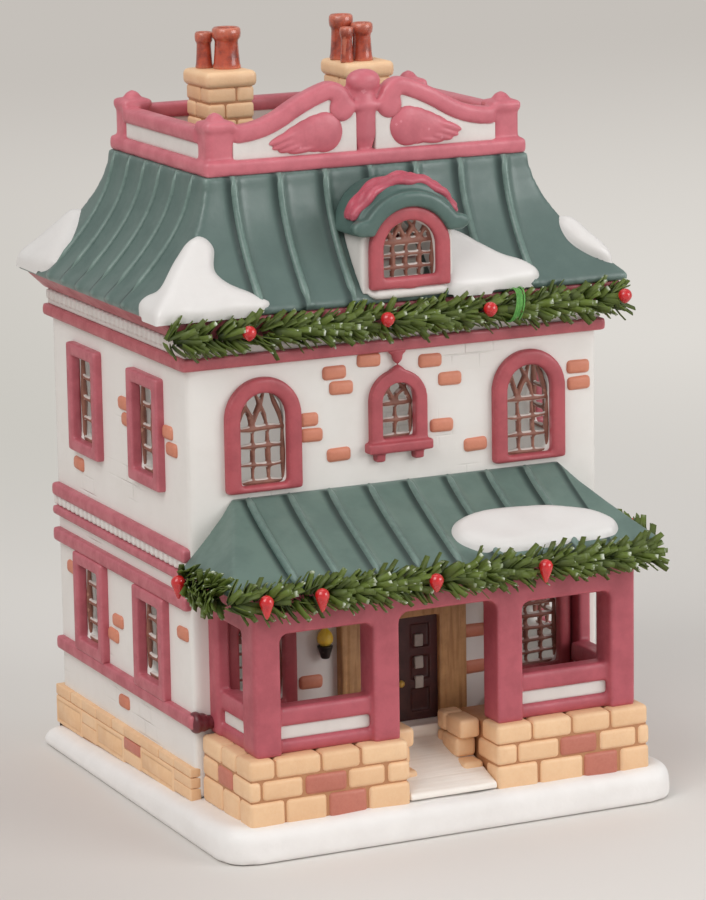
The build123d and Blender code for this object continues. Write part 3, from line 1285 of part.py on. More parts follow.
def garland(length, along, outward, centre, berries):
    plane = Plane(origin=centre - along * (length / 2), x_dir=outward, z_dir=along)
    core = extrude(plane * Rectangle(GARLAND_CORE, GARLAND_CORE), amount=length)
    return core + needles(length, along, outward, centre, berries)


X_AXIS = Vector(1, 0, 0)
Y_AXIS = Vector(0, 1, 0)
UPPER_LENGTH = 2 * (EAVE_HALF - UPPER_GARLAND_INSET)
UPPER_CENTRE = Vector(0, HOUSE_FRONT - FASCIA_FRONT_PROUD - GARLAND_CORE / 2, WALL_TOP + UPPER_GARLAND_LIFT)
LOWER_HEIGHT = BEAM_TOP + PORCH_ROOF_EDGE - GARLAND_CORE / 2
LOWER_CENTRE = Vector(0, PORCH_EAVE - GARLAND_CORE / 2, LOWER_HEIGHT)
LOWER_LENGTH = 2 * (PORCH_ROOF_EAVE_HALF + LOWER_GARLAND_END)
SIDE_GARLAND_LENGTH = HOUSE_FRONT - PORCH_EAVE - 2 * LOWER_GARLAND_END


def side_garland_centre(side):
    x = side * (PORCH_ROOF_EAVE_HALF + GARLAND_CORE / 2)
    return Vector(x, (HOUSE_FRONT + PORCH_EAVE) / 2, LOWER_HEIGHT)


def berry_runs(shares, length):
    return [share * length / 2 for share in shares]


UPPER_RUNS = berry_runs(UPPER_BERRIES, UPPER_LENGTH)
LOWER_RUNS = berry_runs(LOWER_BERRIES, LOWER_LENGTH)
SIDE_RUNS = berry_runs(SIDE_BERRIES, SIDE_GARLAND_LENGTH)


def make_side_garland(side):
    return garland(SIDE_GARLAND_LENGTH, Y_AXIS, X_AXIS * side, side_garland_centre(side), SIDE_RUNS)


def make_berries():
    berries = [berry(UPPER_CENTRE + X_AXIS * run, Y_AXIS * -1) for run in UPPER_RUNS]
    berries += [berry(LOWER_CENTRE + X_AXIS * run, Y_AXIS * -1) for run in LOWER_RUNS]
    for side in (-1, 1):
        berries += [berry(side_garland_centre(side) + Y_AXIS * run, X_AXIS * side) for run in SIDE_RUNS]
    return group(berries)


# Lamp: drawn along its own axis, with Z into the house from the rear wall's face

def lamp_rod(radius, start, length):
    return LAMP * Pos(0, 0, start + length / 2) * Cylinder(radius, length)


def make_socket():
    boss = lamp_rod(LAMP_HOLE_RADIUS - LAMP_CLEARANCE, -LAMP_CLEARANCE, WALL)
    flange_back = -LAMP_CLEARANCE - LAMP_FLANGE_THICK
    flange = lamp_rod(LAMP_FLANGE_RADIUS, flange_back, LAMP_FLANGE_THICK)
    barrel = lamp_rod(LAMP_BARREL_RADIUS, 0, LAMP_BARREL_LENGTH)
    tail = lamp_rod(LAMP_TAIL_RADIUS, flange_back - LAMP_TAIL_LENGTH, LAMP_TAIL_LENGTH)
    bore = lamp_rod(LAMP_BORE_RADIUS, LAMP_BARREL_LENGTH - BULB_BASE_LENGTH, BULB_BASE_LENGTH)
    inlet = lamp_rod(CORD_INLET_RADIUS, flange_back - LAMP_TAIL_LENGTH, CORD_INLET_DEPTH)
    return boss + flange + barrel + tail - bore - inlet


def make_clips():
    clips = []
    low = WALL + CLIP_THICK
    for side in (-1, 1):
        near = LAMP_BARREL_RADIUS + CLIP_THICK / 2 + BULB_FIT
        line = Polyline((side * near, low), (side * (near + CLIP_BOW), low + CLIP_LENGTH / 3),
                        (side * near, low + CLIP_LENGTH))
        strip = Plane.XZ * trace(line, CLIP_THICK)
        clips.append(LAMP * extrude(strip, amount=CLIP_WIDTH / 2, both=True))
    return group(clips)


def make_bulb_base():
    start = LAMP_BARREL_LENGTH - BULB_BASE_LENGTH
    core = BULB_BASE_RADIUS - BULB_THREAD_DEPTH
    base = lamp_rod(core, start, BULB_BASE_LENGTH)
    count = int(BULB_BASE_LENGTH / BULB_THREAD_PITCH) - 1
    for step in range(count):
        place = start + (step + 1) * BULB_THREAD_PITCH
        base += lamp_rod(BULB_BASE_RADIUS, place, BULB_THREAD_PITCH / 2)
    return base


def bulb_profile(wall):
    radius = BULB_RADIUS - wall
    neck = BULB_NECK_RADIUS - wall
    foot = LAMP_BARREL_LENGTH
    belly = foot + BULB_LENGTH * BULB_BELLY
    tip = foot + BULB_LENGTH - wall
    rise = (foot + belly) / 2
    side = Bezier((neck, foot), (radius * BULB_SWELL, rise), (radius, rise), (radius, belly))
    crown = Bezier((radius, belly), (radius, (belly + tip) / 2), (radius * BULB_CROWN, tip), (0, tip))
    axis = Polyline((0, tip), (0, foot), (neck, foot))
    return make_face(side.edges() + crown.edges() + axis.edges())


def make_bulb_glass():
    outer = revolve(Plane.XZ * bulb_profile(0.0), Axis.Z)
    inner = revolve(Plane.XZ * bulb_profile(BULB_GLASS), Axis.Z)
    return LAMP * (outer - inner)


def main():
    os.makedirs("parts", exist_ok=True)
    envelope = roof_loft(0.0, FASCIA_TOP, ROOF_TOP) + roof_seams()
    porch_solid = make_porch_solid()
    dormer = make_dormer(envelope)
    hood = make_hood(envelope)
    arch_frames = group([arch_frame(x) for x in (-ARCH_WINDOW_X, ARCH_WINDOW_X)])
    centre_frame = make_centre_frame()
    sill = make_centre_sill()
    side_frames = group([make_side_frames(LEFT), make_side_frames(RIGHT)])

    save("base_slab", make_base())
    save("house_shell", make_shell())
    save("foundation_stones", make_foundation())
    save("cornice_band", ring(CORNICE_BAND_BOTTOM, FRIEZE_BOTTOM, CORNICE_BAND_PROUD))
    save("cornice_frieze", make_frieze())
    save("cornice_fascia", make_fascia())
    save("belt_bands", group([make_belts(LEFT, -1), make_belts(RIGHT, 1)]))
    save("belt_dentils", group([make_belt_dentils(LEFT), make_belt_dentils(RIGHT)]))

    save("arch_window_frames", arch_frames)
    save("arch_window_lattices", make_front_lattices(arch_outline, ARCH_WINDOW_X, ARCH_HOLE))
    save("centre_window_frame", centre_frame)
    save("centre_window_sill", sill)
    save("centre_window_lattice", lattice(FRONT, arch_outline, 2, 4, 0, *CENTRE_HOLE))
    save("side_window_frames", side_frames)
    save("side_window_lattices", group([make_side_lattices(LEFT), make_side_lattices(RIGHT)]))
    save("ground_window_frames", group([ground_frame(x) for x in (-GROUND_WINDOW_X, GROUND_WINDOW_X)]))
    save("ground_window_lattices", make_front_lattices(square_outline, GROUND_WINDOW_X, GROUND_HOLE))
    save("wall_bricks", make_bricks([arch_frames, centre_frame, sill, side_frames]))

    save("front_door", make_door())
    save("door_pilasters", make_pilasters())
    save("door_lintel", make_lintel())
    save("door_knob", make_knob())
    save("lantern_cups", make_lantern_cups())
    save("lantern_glasses", make_lantern_glasses())

    save("left_porch_plinth", make_plinth(-1))
    save("right_porch_plinth", make_plinth(1))
    save("porch_walk", make_walk())
    save("porch_posts", make_posts())
    save("porch_rails", make_porch_rails())
    save("porch_panels", make_porch_panels())
    save("porch_beams", make_beams())
    save("porch_roof", make_porch_roof(porch_solid))
    save("porch_roof_snow", make_porch_snow(porch_solid))

    save("mansard_roof", make_roof(envelope))
    save("dormer_body", dormer)
    save("dormer_hood", hood)
    save("dormer_ribbon", make_ribbon() - envelope)
    save("dormer_window_frame", make_dormer_frame() - envelope)
    save("dormer_window_lattice", make_dormer_lattice())
    save("roof_snow", make_roof_snow(envelope, [dormer, hood]))

    save("parapet_curb", make_curb())
    save("parapet_panels", group([make_parapet_panels(), make_front_panels()]))
    save("parapet_rails", make_parapet_rails())
    save("parapet_posts", make_parapet_posts())
    save("parapet_scrolls", make_scrolls())
    save("parapet_centre_post", make_centre_post())
    save("parapet_leaves", make_leaves())
    save("left_chimney", make_chimney(-1))
    save("right_chimney", make_chimney(1))
    save("chimney_pots", group([make_pots(-1, LEFT_POTS), make_pots(1, RIGHT_POTS)]))

    save("upper_garland", garland(UPPER_LENGTH, X_AXIS, Y_AXIS * -1, UPPER_CENTRE, UPPER_RUNS))
    save("lower_garland", garland(LOWER_LENGTH, X_AXIS, Y_AXIS * -1, LOWER_CENTRE, LOWER_RUNS))
    save("left_end_garland", make_side_garland(-1))
    save("right_end_garland", make_side_garland(1))
    save("garland_berries", make_berries())

    save("lamp_socket", make_socket())
    save("lamp_clips", make_clips())
    save("bulb_base", make_bulb_base())
    save("bulb_glass", make_bulb_glass())


main()
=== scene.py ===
# %% [markdown]
# # A ceramic village house
# The real object is one hollow casting of white clay, with small parts stuck on, painted by hand and
# trimmed with two wire garlands. The CAD model gives every part its size and place. Here each part is
# made soft again, as wet clay leaves it, and gets its paint. First the model is loaded as a fixed frame.

# %% Load the model and keep its box
import math
import random

import bmesh
import bpy
from mathutils import Euler, Matrix, Vector


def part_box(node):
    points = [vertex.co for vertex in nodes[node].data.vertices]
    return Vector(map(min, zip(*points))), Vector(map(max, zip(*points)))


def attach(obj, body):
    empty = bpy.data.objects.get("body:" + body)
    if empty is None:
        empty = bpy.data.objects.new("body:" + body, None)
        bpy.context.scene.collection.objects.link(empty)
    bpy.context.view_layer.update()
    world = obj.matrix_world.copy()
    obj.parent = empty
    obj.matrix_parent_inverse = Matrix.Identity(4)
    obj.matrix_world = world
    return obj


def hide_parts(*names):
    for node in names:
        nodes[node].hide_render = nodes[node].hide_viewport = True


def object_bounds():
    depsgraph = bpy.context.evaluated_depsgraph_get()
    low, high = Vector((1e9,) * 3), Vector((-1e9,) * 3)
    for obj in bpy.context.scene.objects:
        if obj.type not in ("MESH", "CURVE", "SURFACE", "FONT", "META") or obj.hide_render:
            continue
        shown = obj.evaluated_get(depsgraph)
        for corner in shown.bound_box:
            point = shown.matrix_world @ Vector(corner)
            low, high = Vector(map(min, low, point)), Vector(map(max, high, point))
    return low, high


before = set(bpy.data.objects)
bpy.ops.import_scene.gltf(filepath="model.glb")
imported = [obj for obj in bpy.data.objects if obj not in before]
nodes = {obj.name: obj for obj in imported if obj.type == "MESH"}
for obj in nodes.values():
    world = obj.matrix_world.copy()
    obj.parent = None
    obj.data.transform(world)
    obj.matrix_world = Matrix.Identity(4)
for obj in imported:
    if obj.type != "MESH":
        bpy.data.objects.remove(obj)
cad_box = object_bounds()
MM = 0.001
ALONG_X = Vector((1, 0, 0))
ALONG_Y = Vector((0, 1, 0))
ALONG_Z = Vector((0, 0, 1))
print("CAD nodes:", len(nodes))

# %% [markdown]
# ## Camera
# The view is from the left and a little above, with a long lens, so that the upright edges stay nearly
# parallel. An aiming constraint would do, but the small roll of the view is easier to write as axes.

# %% Place the camera
VIEW_AZIMUTH = math.radians(-25.1)
VIEW_ELEVATION = math.radians(12.07)
VIEW_ROLL = math.radians(-0.94)
VIEW_TARGET = Vector((9.6, 17.5, 86.39)) * MM
VIEW_DISTANCE = 1116.4 * MM
VIEW_LENS = 161.16
VIEW_SENSOR = 36.0
VIEW_CLIP = (0.05, 50.0)


def put_in_scene(name, data):
    made = bpy.data.objects.new(name, data)
    bpy.context.scene.collection.objects.link(made)
    return made


def view_axes():
    level = math.cos(VIEW_ELEVATION)
    back = Vector((math.sin(VIEW_AZIMUTH) * level, -math.cos(VIEW_AZIMUTH) * level, 0.0))
    back.z = math.sin(VIEW_ELEVATION)
    right = ALONG_Z.cross(back).normalized()
    up = back.cross(right)
    rolled_right = right * math.cos(VIEW_ROLL) + up * math.sin(VIEW_ROLL)
    rolled_up = up * math.cos(VIEW_ROLL) - right * math.sin(VIEW_ROLL)
    return rolled_right, rolled_up, back


def place_camera():
    right, up, back = view_axes()
    lens = bpy.data.cameras.new("view")
    lens.lens = VIEW_LENS
    lens.sensor_width = VIEW_SENSOR
    lens.clip_start, lens.clip_end = VIEW_CLIP
    camera = put_in_scene("view", lens)
    turn = Matrix((right, up, back)).transposed().to_4x4()
    camera.matrix_world = Matrix.Translation(VIEW_TARGET + back * VIEW_DISTANCE) @ turn
    bpy.context.scene.camera = camera
    return camera


print("Camera at", [round(value, 3) for value in place_camera().location])

# %% [markdown]
# ## Tools for meshes
# A bmesh holds a shape while operators work on it, and an object then carries it in the scene. Every
# piece goes through the same function, which also says which CAD body it moves with and which CAD nodes it
# stands for, and gives it its paints.

# %% Helpers that turn shapes into pieces
MERGE_WITHIN = 0.01 * MM


def mesh_of(form, name):
    mesh = bpy.data.meshes.new(name)
    form.to_mesh(mesh)
    form.free()
    return mesh


def show_piece(form, name, paints, body="house", stands_for=()):
    bmesh.ops.recalc_face_normals(form, faces=form.faces)
    mesh = mesh_of(form, name)
    mesh.shade_smooth()
    piece = put_in_scene(name, mesh)
    for paint in paints:
        mesh.materials.append(paint)
    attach(piece, body)
    if stands_for:
        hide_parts(*stands_for)
    print(name, len(mesh.polygons), "faces")
    return piece


def copy_nodes(names):
    form = bmesh.new()
    for name in names:
        form.from_mesh(nodes[name].data)
    bmesh.ops.remove_doubles(form, verts=form.verts, dist=MERGE_WITHIN)
    return form


def box_mm(node):
    return [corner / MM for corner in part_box(node)]


def node_parts(name):
    """Gives the box of each separate solid of a node, from left to right, then back and down."""
    form = copy_nodes([name])
    left = set(form.verts)
    boxes = []
    while left:
        group = {left.pop()}
        edge = set(group)
        while edge:
            edge = {link.other_vert(vert) for vert in edge for link in vert.link_edges} - group
            group |= edge
        left -= group
        corners = [vert.co for vert in group]
        low = Vector([min(co[axis] for co in corners) for axis in range(3)])
        high = Vector([max(co[axis] for co in corners) for axis in range(3)])
        boxes.append((low, high))
    form.free()
    return sorted(boxes, key=lambda box: (round(box[0].x, 5), box[0].y, -box[0].z))


print("Berries in the model:", len(node_parts("garland_berries")))

# %% [markdown]
# ## Soft clay from hard CAD
# Cast and painted clay has no sharp edge. Bevelling hundreds of CAD edges is fragile, so the solids are
# poured into a voxel remesh, which melts touching solids into one skin, and a few rounds of smoothing
# take the edges off. Faces that lie on a wall first sink into it a little, so that no gap opens there.

# %% Pour CAD solids into soft clay
WALL_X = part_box("house_shell")[1].x
WALL_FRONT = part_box("house_shell")[0].y
WALL_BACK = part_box("house_shell")[1].y
ON_WALL = 0.02 * MM
WALL_SINK = 0.8
SMOOTHING = 0.5


def sink_into_walls(form, depth):
    for vert in form.verts:
        if abs(abs(vert.co.x) - WALL_X) < ON_WALL:
            vert.co.x -= math.copysign(depth, vert.co.x)
        if abs(vert.co.y - WALL_FRONT) < ON_WALL:
            vert.co.y += depth
        if abs(vert.co.y - WALL_BACK) < ON_WALL:
            vert.co.y -= depth


def smooth(form, rounds):
    for _ in range(rounds):
        bmesh.ops.smooth_vert(form, verts=form.verts, factor=SMOOTHING, use_axis_x=True, use_axis_y=True,
                              use_axis_z=True)


def melt(form, voxel, rounds, swell=0.0):
    mesh = mesh_of(form, "melt")
    lump = put_in_scene("melt", mesh)
    remesh = lump.modifiers.new("melt", "REMESH")
    remesh.mode = "VOXEL"
    remesh.voxel_size = voxel * MM
    melted = bmesh.new()
    melted.from_object(lump, bpy.context.evaluated_depsgraph_get())
    bpy.data.objects.remove(lump)
    bpy.data.meshes.remove(mesh)
    melted.normal_update()
    for vert in melted.verts:
        vert.co += vert.normal * swell * MM
    smooth(melted, rounds)
    return melted


def clay(name, stands_for, paint, voxel=0.45, rounds=3, sink=WALL_SINK, swell=0.0):
    form = copy_nodes(stands_for)
    if sink:
        sink_into_walls(form, sink * MM)
    return show_piece(melt(form, voxel, rounds, swell), name, [paint], stands_for=stands_for)


print("Walls:", round(WALL_X, 4), round(WALL_FRONT, 4), round(WALL_BACK, 4))

# %% [markdown]
# ## Balls and beads of clay
# Much of the trim is not cut but rolled: small balls pressed flat, and thin rolls of clay laid along a line.
# A ball is a sphere with three radii. A bead is a row of circles along a path, bridged into a tube, which
# keeps its width where a curve with a bevel would need a second object.

# %% Ball, bead and box helpers
END_SLIM = 0.5


def add_ball(form, centre, radii, turn=Matrix.Identity(4), segments=24):
    made = bmesh.ops.create_uvsphere(form, u_segments=segments, v_segments=segments // 2 + 2, radius=1.0)
    place = Matrix.Translation(Vector(centre) * MM) @ turn @ Matrix.Diagonal((*(Vector(radii) * MM), 1.0))
    bmesh.ops.transform(form, matrix=place, verts=made["verts"])


def add_bead(form, points, across, half_wide, half_tall, segments=10):
    rings = []
    last = len(points) - 1
    for step, point in enumerate(points):
        forward = (points[min(step + 1, last)] - points[max(step - 1, 0)]).normalized()
        upward = forward.cross(across).normalized()
        slim = (END_SLIM if step in (0, last) else 1.0) * MM
        made = bmesh.ops.create_circle(form, cap_ends=False, segments=segments, radius=1.0)["verts"]
        sides = (upward.cross(forward) * half_wide * slim, upward * half_tall * slim, forward)
        axes = Matrix(sides).transposed().to_4x4()
        bmesh.ops.transform(form, matrix=Matrix.Translation(point * MM) @ axes, verts=made)
        rings.append(list({edge for vert in made for edge in vert.link_edges}))
    for near, far in zip(rings, rings[1:]):
        bmesh.ops.bridge_loops(form, edges=near + far)
    for ring in (rings[0], rings[-1]):
        bmesh.ops.edgeloop_fill(form, edges=ring)


def keep_in_box(form):
    low, high = cad_box
    for vert in form.verts:
        vert.co = Vector([min(max(value, least), most) for value, least, most in zip(vert.co, low, high)])


print("CAD box:", [[round(value, 4) for value in corner] for corner in cad_box])

# %% [markdown]
# ## Paint
# All paint on the house is brushed on by hand: it is thinner and lighter on edges that rub off, darker
# where it gathers in hollows, and cloudy in between. That is one effect with several colours, so it is a
# node group. Pointiness tells ridges from hollows, which works because the clay meshes are dense. The
# helpers come first: each adds one kind of node, and feeds its sockets with a value or a link.

# %% Node helpers
MIX_SOCKETS = {"FLOAT": (2, 3, 0), "RGBA": (6, 7, 2)}


def colour(red, green, blue):
    """Turns a colour of 0 to 255, as the eye sees it, into the linear one that shaders take."""
    linear = []
    for value in (red / 255, green / 255, blue / 255):
        linear.append(value / 12.92 if value <= 0.04 else ((value + 0.055) / 1.055) ** 2.4)
    return (*linear, 1.0)


def feed(tree, target, value):
    if isinstance(value, bpy.types.NodeSocket):
        tree.links.new(value, target)
    else:
        target.default_value = value


def add_node(tree, kind, settings=(), **inputs):
    made = tree.nodes.new(kind)
    for key, value in dict(settings).items():
        setattr(made, key, value)
    for key, value in inputs.items():
        feed(tree, made.inputs[key.replace("_", " ")], value)
    return made


def use_group(tree, group, **inputs):
    return add_node(tree, "ShaderNodeGroup", {"node_tree": group}, **inputs).outputs


def blend(tree, factor, first, second, kind="RGBA"):
    """Mixes two colours, or two values: a Mix node has its own sockets for each kind."""
    made = add_node(tree, "ShaderNodeMix", {"data_type": kind})
    first_at, second_at, result_at = MIX_SOCKETS[kind]
    for at, value in ((0, factor), (first_at, first), (second_at, second)):
        feed(tree, made.inputs[at], value)
    return made.outputs[result_at]


def ramp(tree, value, low, high, to_low=0.0, to_high=1.0):
    made = add_node(tree, "ShaderNodeMapRange", {"interpolation_type": "SMOOTHSTEP"}, Value=value,
                    From_Min=low, From_Max=high, To_Min=to_low, To_Max=to_high)
    return made.outputs["Result"]


def work_out(tree, kind, operation, values):
    made = add_node(tree, kind, {"operation": operation})
    for socket, value in zip(made.inputs, values):
        feed(tree, socket, value)
    return made.outputs


def maths(tree, operation, *values):
    return work_out(tree, "ShaderNodeMath", operation, values)["Value"]


def times(tree, *values):
    return maths(tree, "MULTIPLY", *values)


def vector_maths(tree, operation, *values):
    return work_out(tree, "ShaderNodeVectorMath", operation, values)


def own_place(tree):
    return add_node(tree, "ShaderNodeTexCoord").outputs["Object"]


def stretched_place(tree, scale):
    return add_node(tree, "ShaderNodeMapping", Vector=own_place(tree), Scale=scale).outputs[0]


def face_normal(tree):
    return add_node(tree, "ShaderNodeNewGeometry").outputs["Normal"]


def split(tree, vector):
    return add_node(tree, "ShaderNodeSeparateXYZ", Vector=vector).outputs


def attribute(tree, name):
    return add_node(tree, "ShaderNodeAttribute", {"attribute_name": name}).outputs["Fac"]


def noise(tree, place, size, detail, roughness=0.5):
    made = add_node(tree, "ShaderNodeTexNoise", Vector=place, Scale=size, Detail=detail, Roughness=roughness)
    return made.outputs["Fac"]


def new_group(name, inputs, outputs):
    tree = bpy.data.node_groups.new(name, "ShaderNodeTree")
    for title, kind in inputs:
        tree.interface.new_socket(name=title, in_out="INPUT", socket_type="NodeSocket" + kind)
    for title, kind in outputs:
        tree.interface.new_socket(name=title, in_out="OUTPUT", socket_type="NodeSocket" + kind)
    return tree, tree.nodes.new("NodeGroupInput").outputs, tree.nodes.new("NodeGroupOutput").inputs


print("A mid grey of 128 is", round(colour(128, 128, 128)[0], 3), "in linear light")

# %% Brushed paint and bare clay
PAINT_INPUTS = (("Paint", "Color"), ("Hollow", "Color"), ("Rubbed", "Color"), ("Cloud Size", "Float"),
                ("Cloud", "Float"), ("Wear", "Float"), ("Gather", "Float"), ("Gloss", "Float"))
PAINT_OUTPUTS = (("Color", "Color"), ("Roughness", "Float"), ("Height", "Float"))
GRAIN_FINER = 9.0
RIDGE = (0.515, 0.58)
HOLLOW = (0.49, 0.42)
INWARD = (-0.2, -0.45)


def brushed_paint_group():
    """Pointiness is 0.5 on a flat face, more on a ridge and less in a hollow."""
    tree, given, made = new_group("brushed paint", PAINT_INPUTS, PAINT_OUTPUTS)
    place = own_place(tree)
    cloud = noise(tree, place, given["Cloud Size"], 4.0, 0.62)
    grain = noise(tree, place, times(tree, given["Cloud Size"], GRAIN_FINER), 3.0, 0.6)
    shape = add_node(tree, "ShaderNodeNewGeometry").outputs["Pointiness"]
    edge = maths(tree, "ADD", shape, maths(tree, "MULTIPLY_ADD", grain, 0.05, -0.025))
    ridge = times(tree, ramp(tree, edge, *RIDGE), given["Wear"])
    hollow = times(tree, ramp(tree, edge, *HOLLOW), given["Gather"])
    cloudy = times(tree, ramp(tree, cloud, 0.35, 0.7), given["Cloud"])
    tone = blend(tree, cloudy, given["Paint"], given["Hollow"])
    tone = blend(tree, hollow, tone, given["Hollow"])
    tone = blend(tree, ridge, tone, given["Rubbed"])
    uneven_gloss = ramp(tree, cloud, 0.3, 0.7, -0.08, 0.1)
    feed(tree, made["Color"], tone)
    feed(tree, made["Roughness"], maths(tree, "ADD", given["Gloss"], uneven_gloss))
    feed(tree, made["Height"], maths(tree, "ADD", times(tree, cloud, 0.7), times(tree, grain, 0.3)))
    return tree


def bare_inside_group():
    """Tells how far a face looks towards the house's upright middle line: inside, the clay was left bare."""
    tree, _, made = new_group("bare inside", (), (("Bare", "Float"),))
    middle = (0.0, (WALL_FRONT + WALL_BACK) / 2, 0.0)
    away = vector_maths(tree, "SUBTRACT", own_place(tree), middle)["Vector"]
    away = vector_maths(tree, "MULTIPLY", away, (1.0, 1.0, 0.0))["Vector"]
    away = vector_maths(tree, "NORMALIZE", away)["Vector"]
    facing = vector_maths(tree, "DOT_PRODUCT", away, face_normal(tree))["Value"]
    feed(tree, made["Bare"], ramp(tree, facing, *INWARD))
    return tree


BRUSHED_PAINT = brushed_paint_group()
BARE_INSIDE = bare_inside_group()
print("Groups:", BRUSHED_PAINT.name, "and", BARE_INSIDE.name)

# %% [markdown]
# ## Painted materials
# Each paint is a Principled shader fed by the group. A plain value, such as the clear coat of a glazed
# part, is set on the shader itself. A low bump keeps the brush marks and the clay's grain.

# %% Make the painted materials
GLAZE_ROUGHNESS = 0.12
BARE_CLAY = colour(214, 207, 200)


def start_material(name):
    material = bpy.data.materials.new(name)
    material.use_nodes = True
    tree = material.node_tree
    return material, tree, tree.nodes["Principled BSDF"]


def surface(tree, shader, tone, roughness, height=None, depth=0.0):
    feed(tree, shader.inputs["Base Color"], tone)
    feed(tree, shader.inputs["Roughness"], roughness)
    if depth:
        bump = add_node(tree, "ShaderNodeBump", Height=height, Strength=1.0, Distance=depth * MM)
        feed(tree, shader.inputs["Normal"], bump.outputs["Normal"])


def brushed(tree, paint, hollow, rubbed, size, cloud, wear, gather, gloss):
    return use_group(tree, BRUSHED_PAINT, Paint=colour(*paint), Hollow=colour(*hollow),
                     Rubbed=colour(*rubbed), Cloud_Size=size, Cloud=cloud, Wear=wear,
                     Gather=gather, Gloss=gloss)


def bare_within(tree, tone):
    return blend(tree, use_group(tree, BARE_INSIDE)["Bare"], tone, BARE_CLAY)


def painted(name, *coat, glaze=0.0, bump=0.12, bare=False):
    """The coat is three colours (paint, hollow, rubbed), then cloud size, cloud, wear, gather and gloss."""
    material, tree, shader = start_material(name)
    made = brushed(tree, *coat)
    tone = bare_within(tree, made["Color"]) if bare else made["Color"]
    surface(tree, shader, tone, made["Roughness"], made["Height"], bump)
    shader.inputs["Coat Weight"].default_value = glaze
    shader.inputs["Coat Roughness"].default_value = GLAZE_ROUGHNESS
    return material


RED_COAT = (160.0, 0.3, 0.6, 0.75, 0.42)
SNOW_GROUND = painted("snow ground", (242, 239, 237), (226, 222, 219), (246, 244, 243),
                      60.0, 0.4, 0.2, 0.4, 0.6, bump=0.2)
RED_TRIM = painted("red trim", (180, 82, 90), (116, 44, 50), (208, 126, 132), *RED_COAT)
CORNICE_RED = painted("cornice red", (186, 92, 100), (116, 44, 50), (208, 126, 132), *RED_COAT, bare=True)
# A lighter copy of the red trim for the side walls: painted light, for the brighter light on the side.
SIDE_ROSE_PAINTED_LIGHT = painted("side rose painted light", (190, 100, 111), (126, 52, 60), (214, 140, 148), *RED_COAT)
ROSE_FRAME = painted("rose porch paint", (184, 88, 100), (120, 46, 54), (214, 130, 140),
                     130.0, 0.3, 0.5, 0.85, 0.42)
PARAPET_ROSE = painted("parapet rose", (206, 112, 124), (142, 58, 70), (222, 148, 158),
                       120.0, 0.3, 0.55, 0.8, 0.4)
WHITE_PANEL = painted("white panel", (224, 219, 215), (200, 193, 188), (232, 229, 226),
                      110.0, 0.25, 0.2, 0.5, 0.55)
# The rubbed colour lightens ridges such as the seams' crests: partly worn paint, partly painted highlight.
ROOF_GREEN = painted("roof green", (80, 104, 98), (50, 72, 70), (130, 152, 144),
                     90.0, 0.3, 0.65, 0.6, 0.36, bump=0.07)
DOOR_BROWN = painted("door brown", (74, 36, 34), (36, 18, 18), (112, 66, 58), 200.0, 0.5, 0.6, 0.8, 0.42)
GLAZED_SNOW = painted("glazed snow", (224, 221, 219), (208, 203, 200), (230, 228, 226),
                      70.0, 0.25, 0.15, 0.35, 0.42, glaze=0.2, bump=0.08)
RIBBON_PINK = painted("ribbon pink", (190, 88, 104), (130, 46, 60), (216, 132, 146),
                      200.0, 0.35, 0.7, 0.8, 0.36)
POT_CLAY = painted("pot clay", (186, 82, 58), (112, 42, 34), (222, 134, 108),
                   330.0, 0.85, 0.6, 0.8, 0.26, glaze=0.6)
# Dark maroon for the belts' ends: a darker copy of the red trim, painted shade where the band turns to the
# front.
PAINTED_SHADE_TIP = painted("maroon tip painted shade", (108, 42, 50), (70, 26, 32), (140, 70, 78), 300.0, 0.4, 0.5, 0.6, 0.34)
LANTERN_BLACK = painted("lantern black", (30, 28, 28), (14, 13, 13), (70, 66, 62), 300.0, 0.3, 0.6, 0.5, 0.4)
LANTERN_YELLOW = painted("lantern yellow", (226, 186, 40), (188, 136, 24), (240, 214, 96),
                         300.0, 0.4, 0.5, 0.5, 0.36)
KNOB_GOLD = painted("knob gold", (196, 158, 74), (132, 98, 40), (224, 194, 120), 400.0, 0.4, 0.5, 0.5, 0.34)
print("Painted materials:", len(bpy.data.materials))

# %% [markdown]
# ## Rendered walls
# The walls are off-white, with a faint pattern of bricks pressed into the clay here and there. The bricks
# could be cut in the mesh, but they are thinner than a coat of paint, so a brick texture feeds the bump.
# It reads the width along the wall that the face belongs to, and a cloud decides where bricks show.

# %% Wall render with pressed bricks
PRESSED_WIDE = 8.2
PRESSED_TALL = 4.3
PRESSED_JOINT = 0.35
PATCH_SIZE = 44.0
JOINT_SHADE = 0.2


def pressed_brick_group():
    tree, _, made = new_group("pressed bricks", (), (("Joint", "Float"),))
    place = own_place(tree)
    parts = split(tree, place)
    sideways = maths(tree, "ABSOLUTE", split(tree, face_normal(tree))["X"])
    along = blend(tree, maths(tree, "GREATER_THAN", sideways, 0.6), parts["X"], parts["Y"], "FLOAT")
    flat = add_node(tree, "ShaderNodeCombineXYZ", X=along, Y=parts["Z"]).outputs[0]
    bricks = add_node(tree, "ShaderNodeTexBrick", Vector=flat, Scale=1.0, Mortar_Size=PRESSED_JOINT * MM,
                      Mortar_Smooth=0.9, Brick_Width=PRESSED_WIDE * MM, Row_Height=PRESSED_TALL * MM)
    patches = ramp(tree, noise(tree, place, PATCH_SIZE, 1.0), 0.56, 0.7)
    feed(tree, made["Joint"], times(tree, bricks.outputs["Fac"], patches))
    return tree


def wall_render():
    material, tree, shader = start_material("wall render")
    coat = brushed(tree, (234, 230, 226), (221, 215, 209), (238, 235, 231), 55.0, 0.35, 0.1, 0.2, 0.6)
    joint = use_group(tree, pressed_brick_group())["Joint"]
    toned = blend(tree, times(tree, joint, JOINT_SHADE), coat["Color"], colour(206, 199, 192))
    height = maths(tree, "SUBTRACT", times(tree, coat["Height"], 0.4), joint)
    surface(tree, shader, toned, coat["Roughness"], height, 0.16)
    return material


clay("rendered_walls", ["house_shell"], wall_render(), voxel=1.15, rounds=2, sink=0)

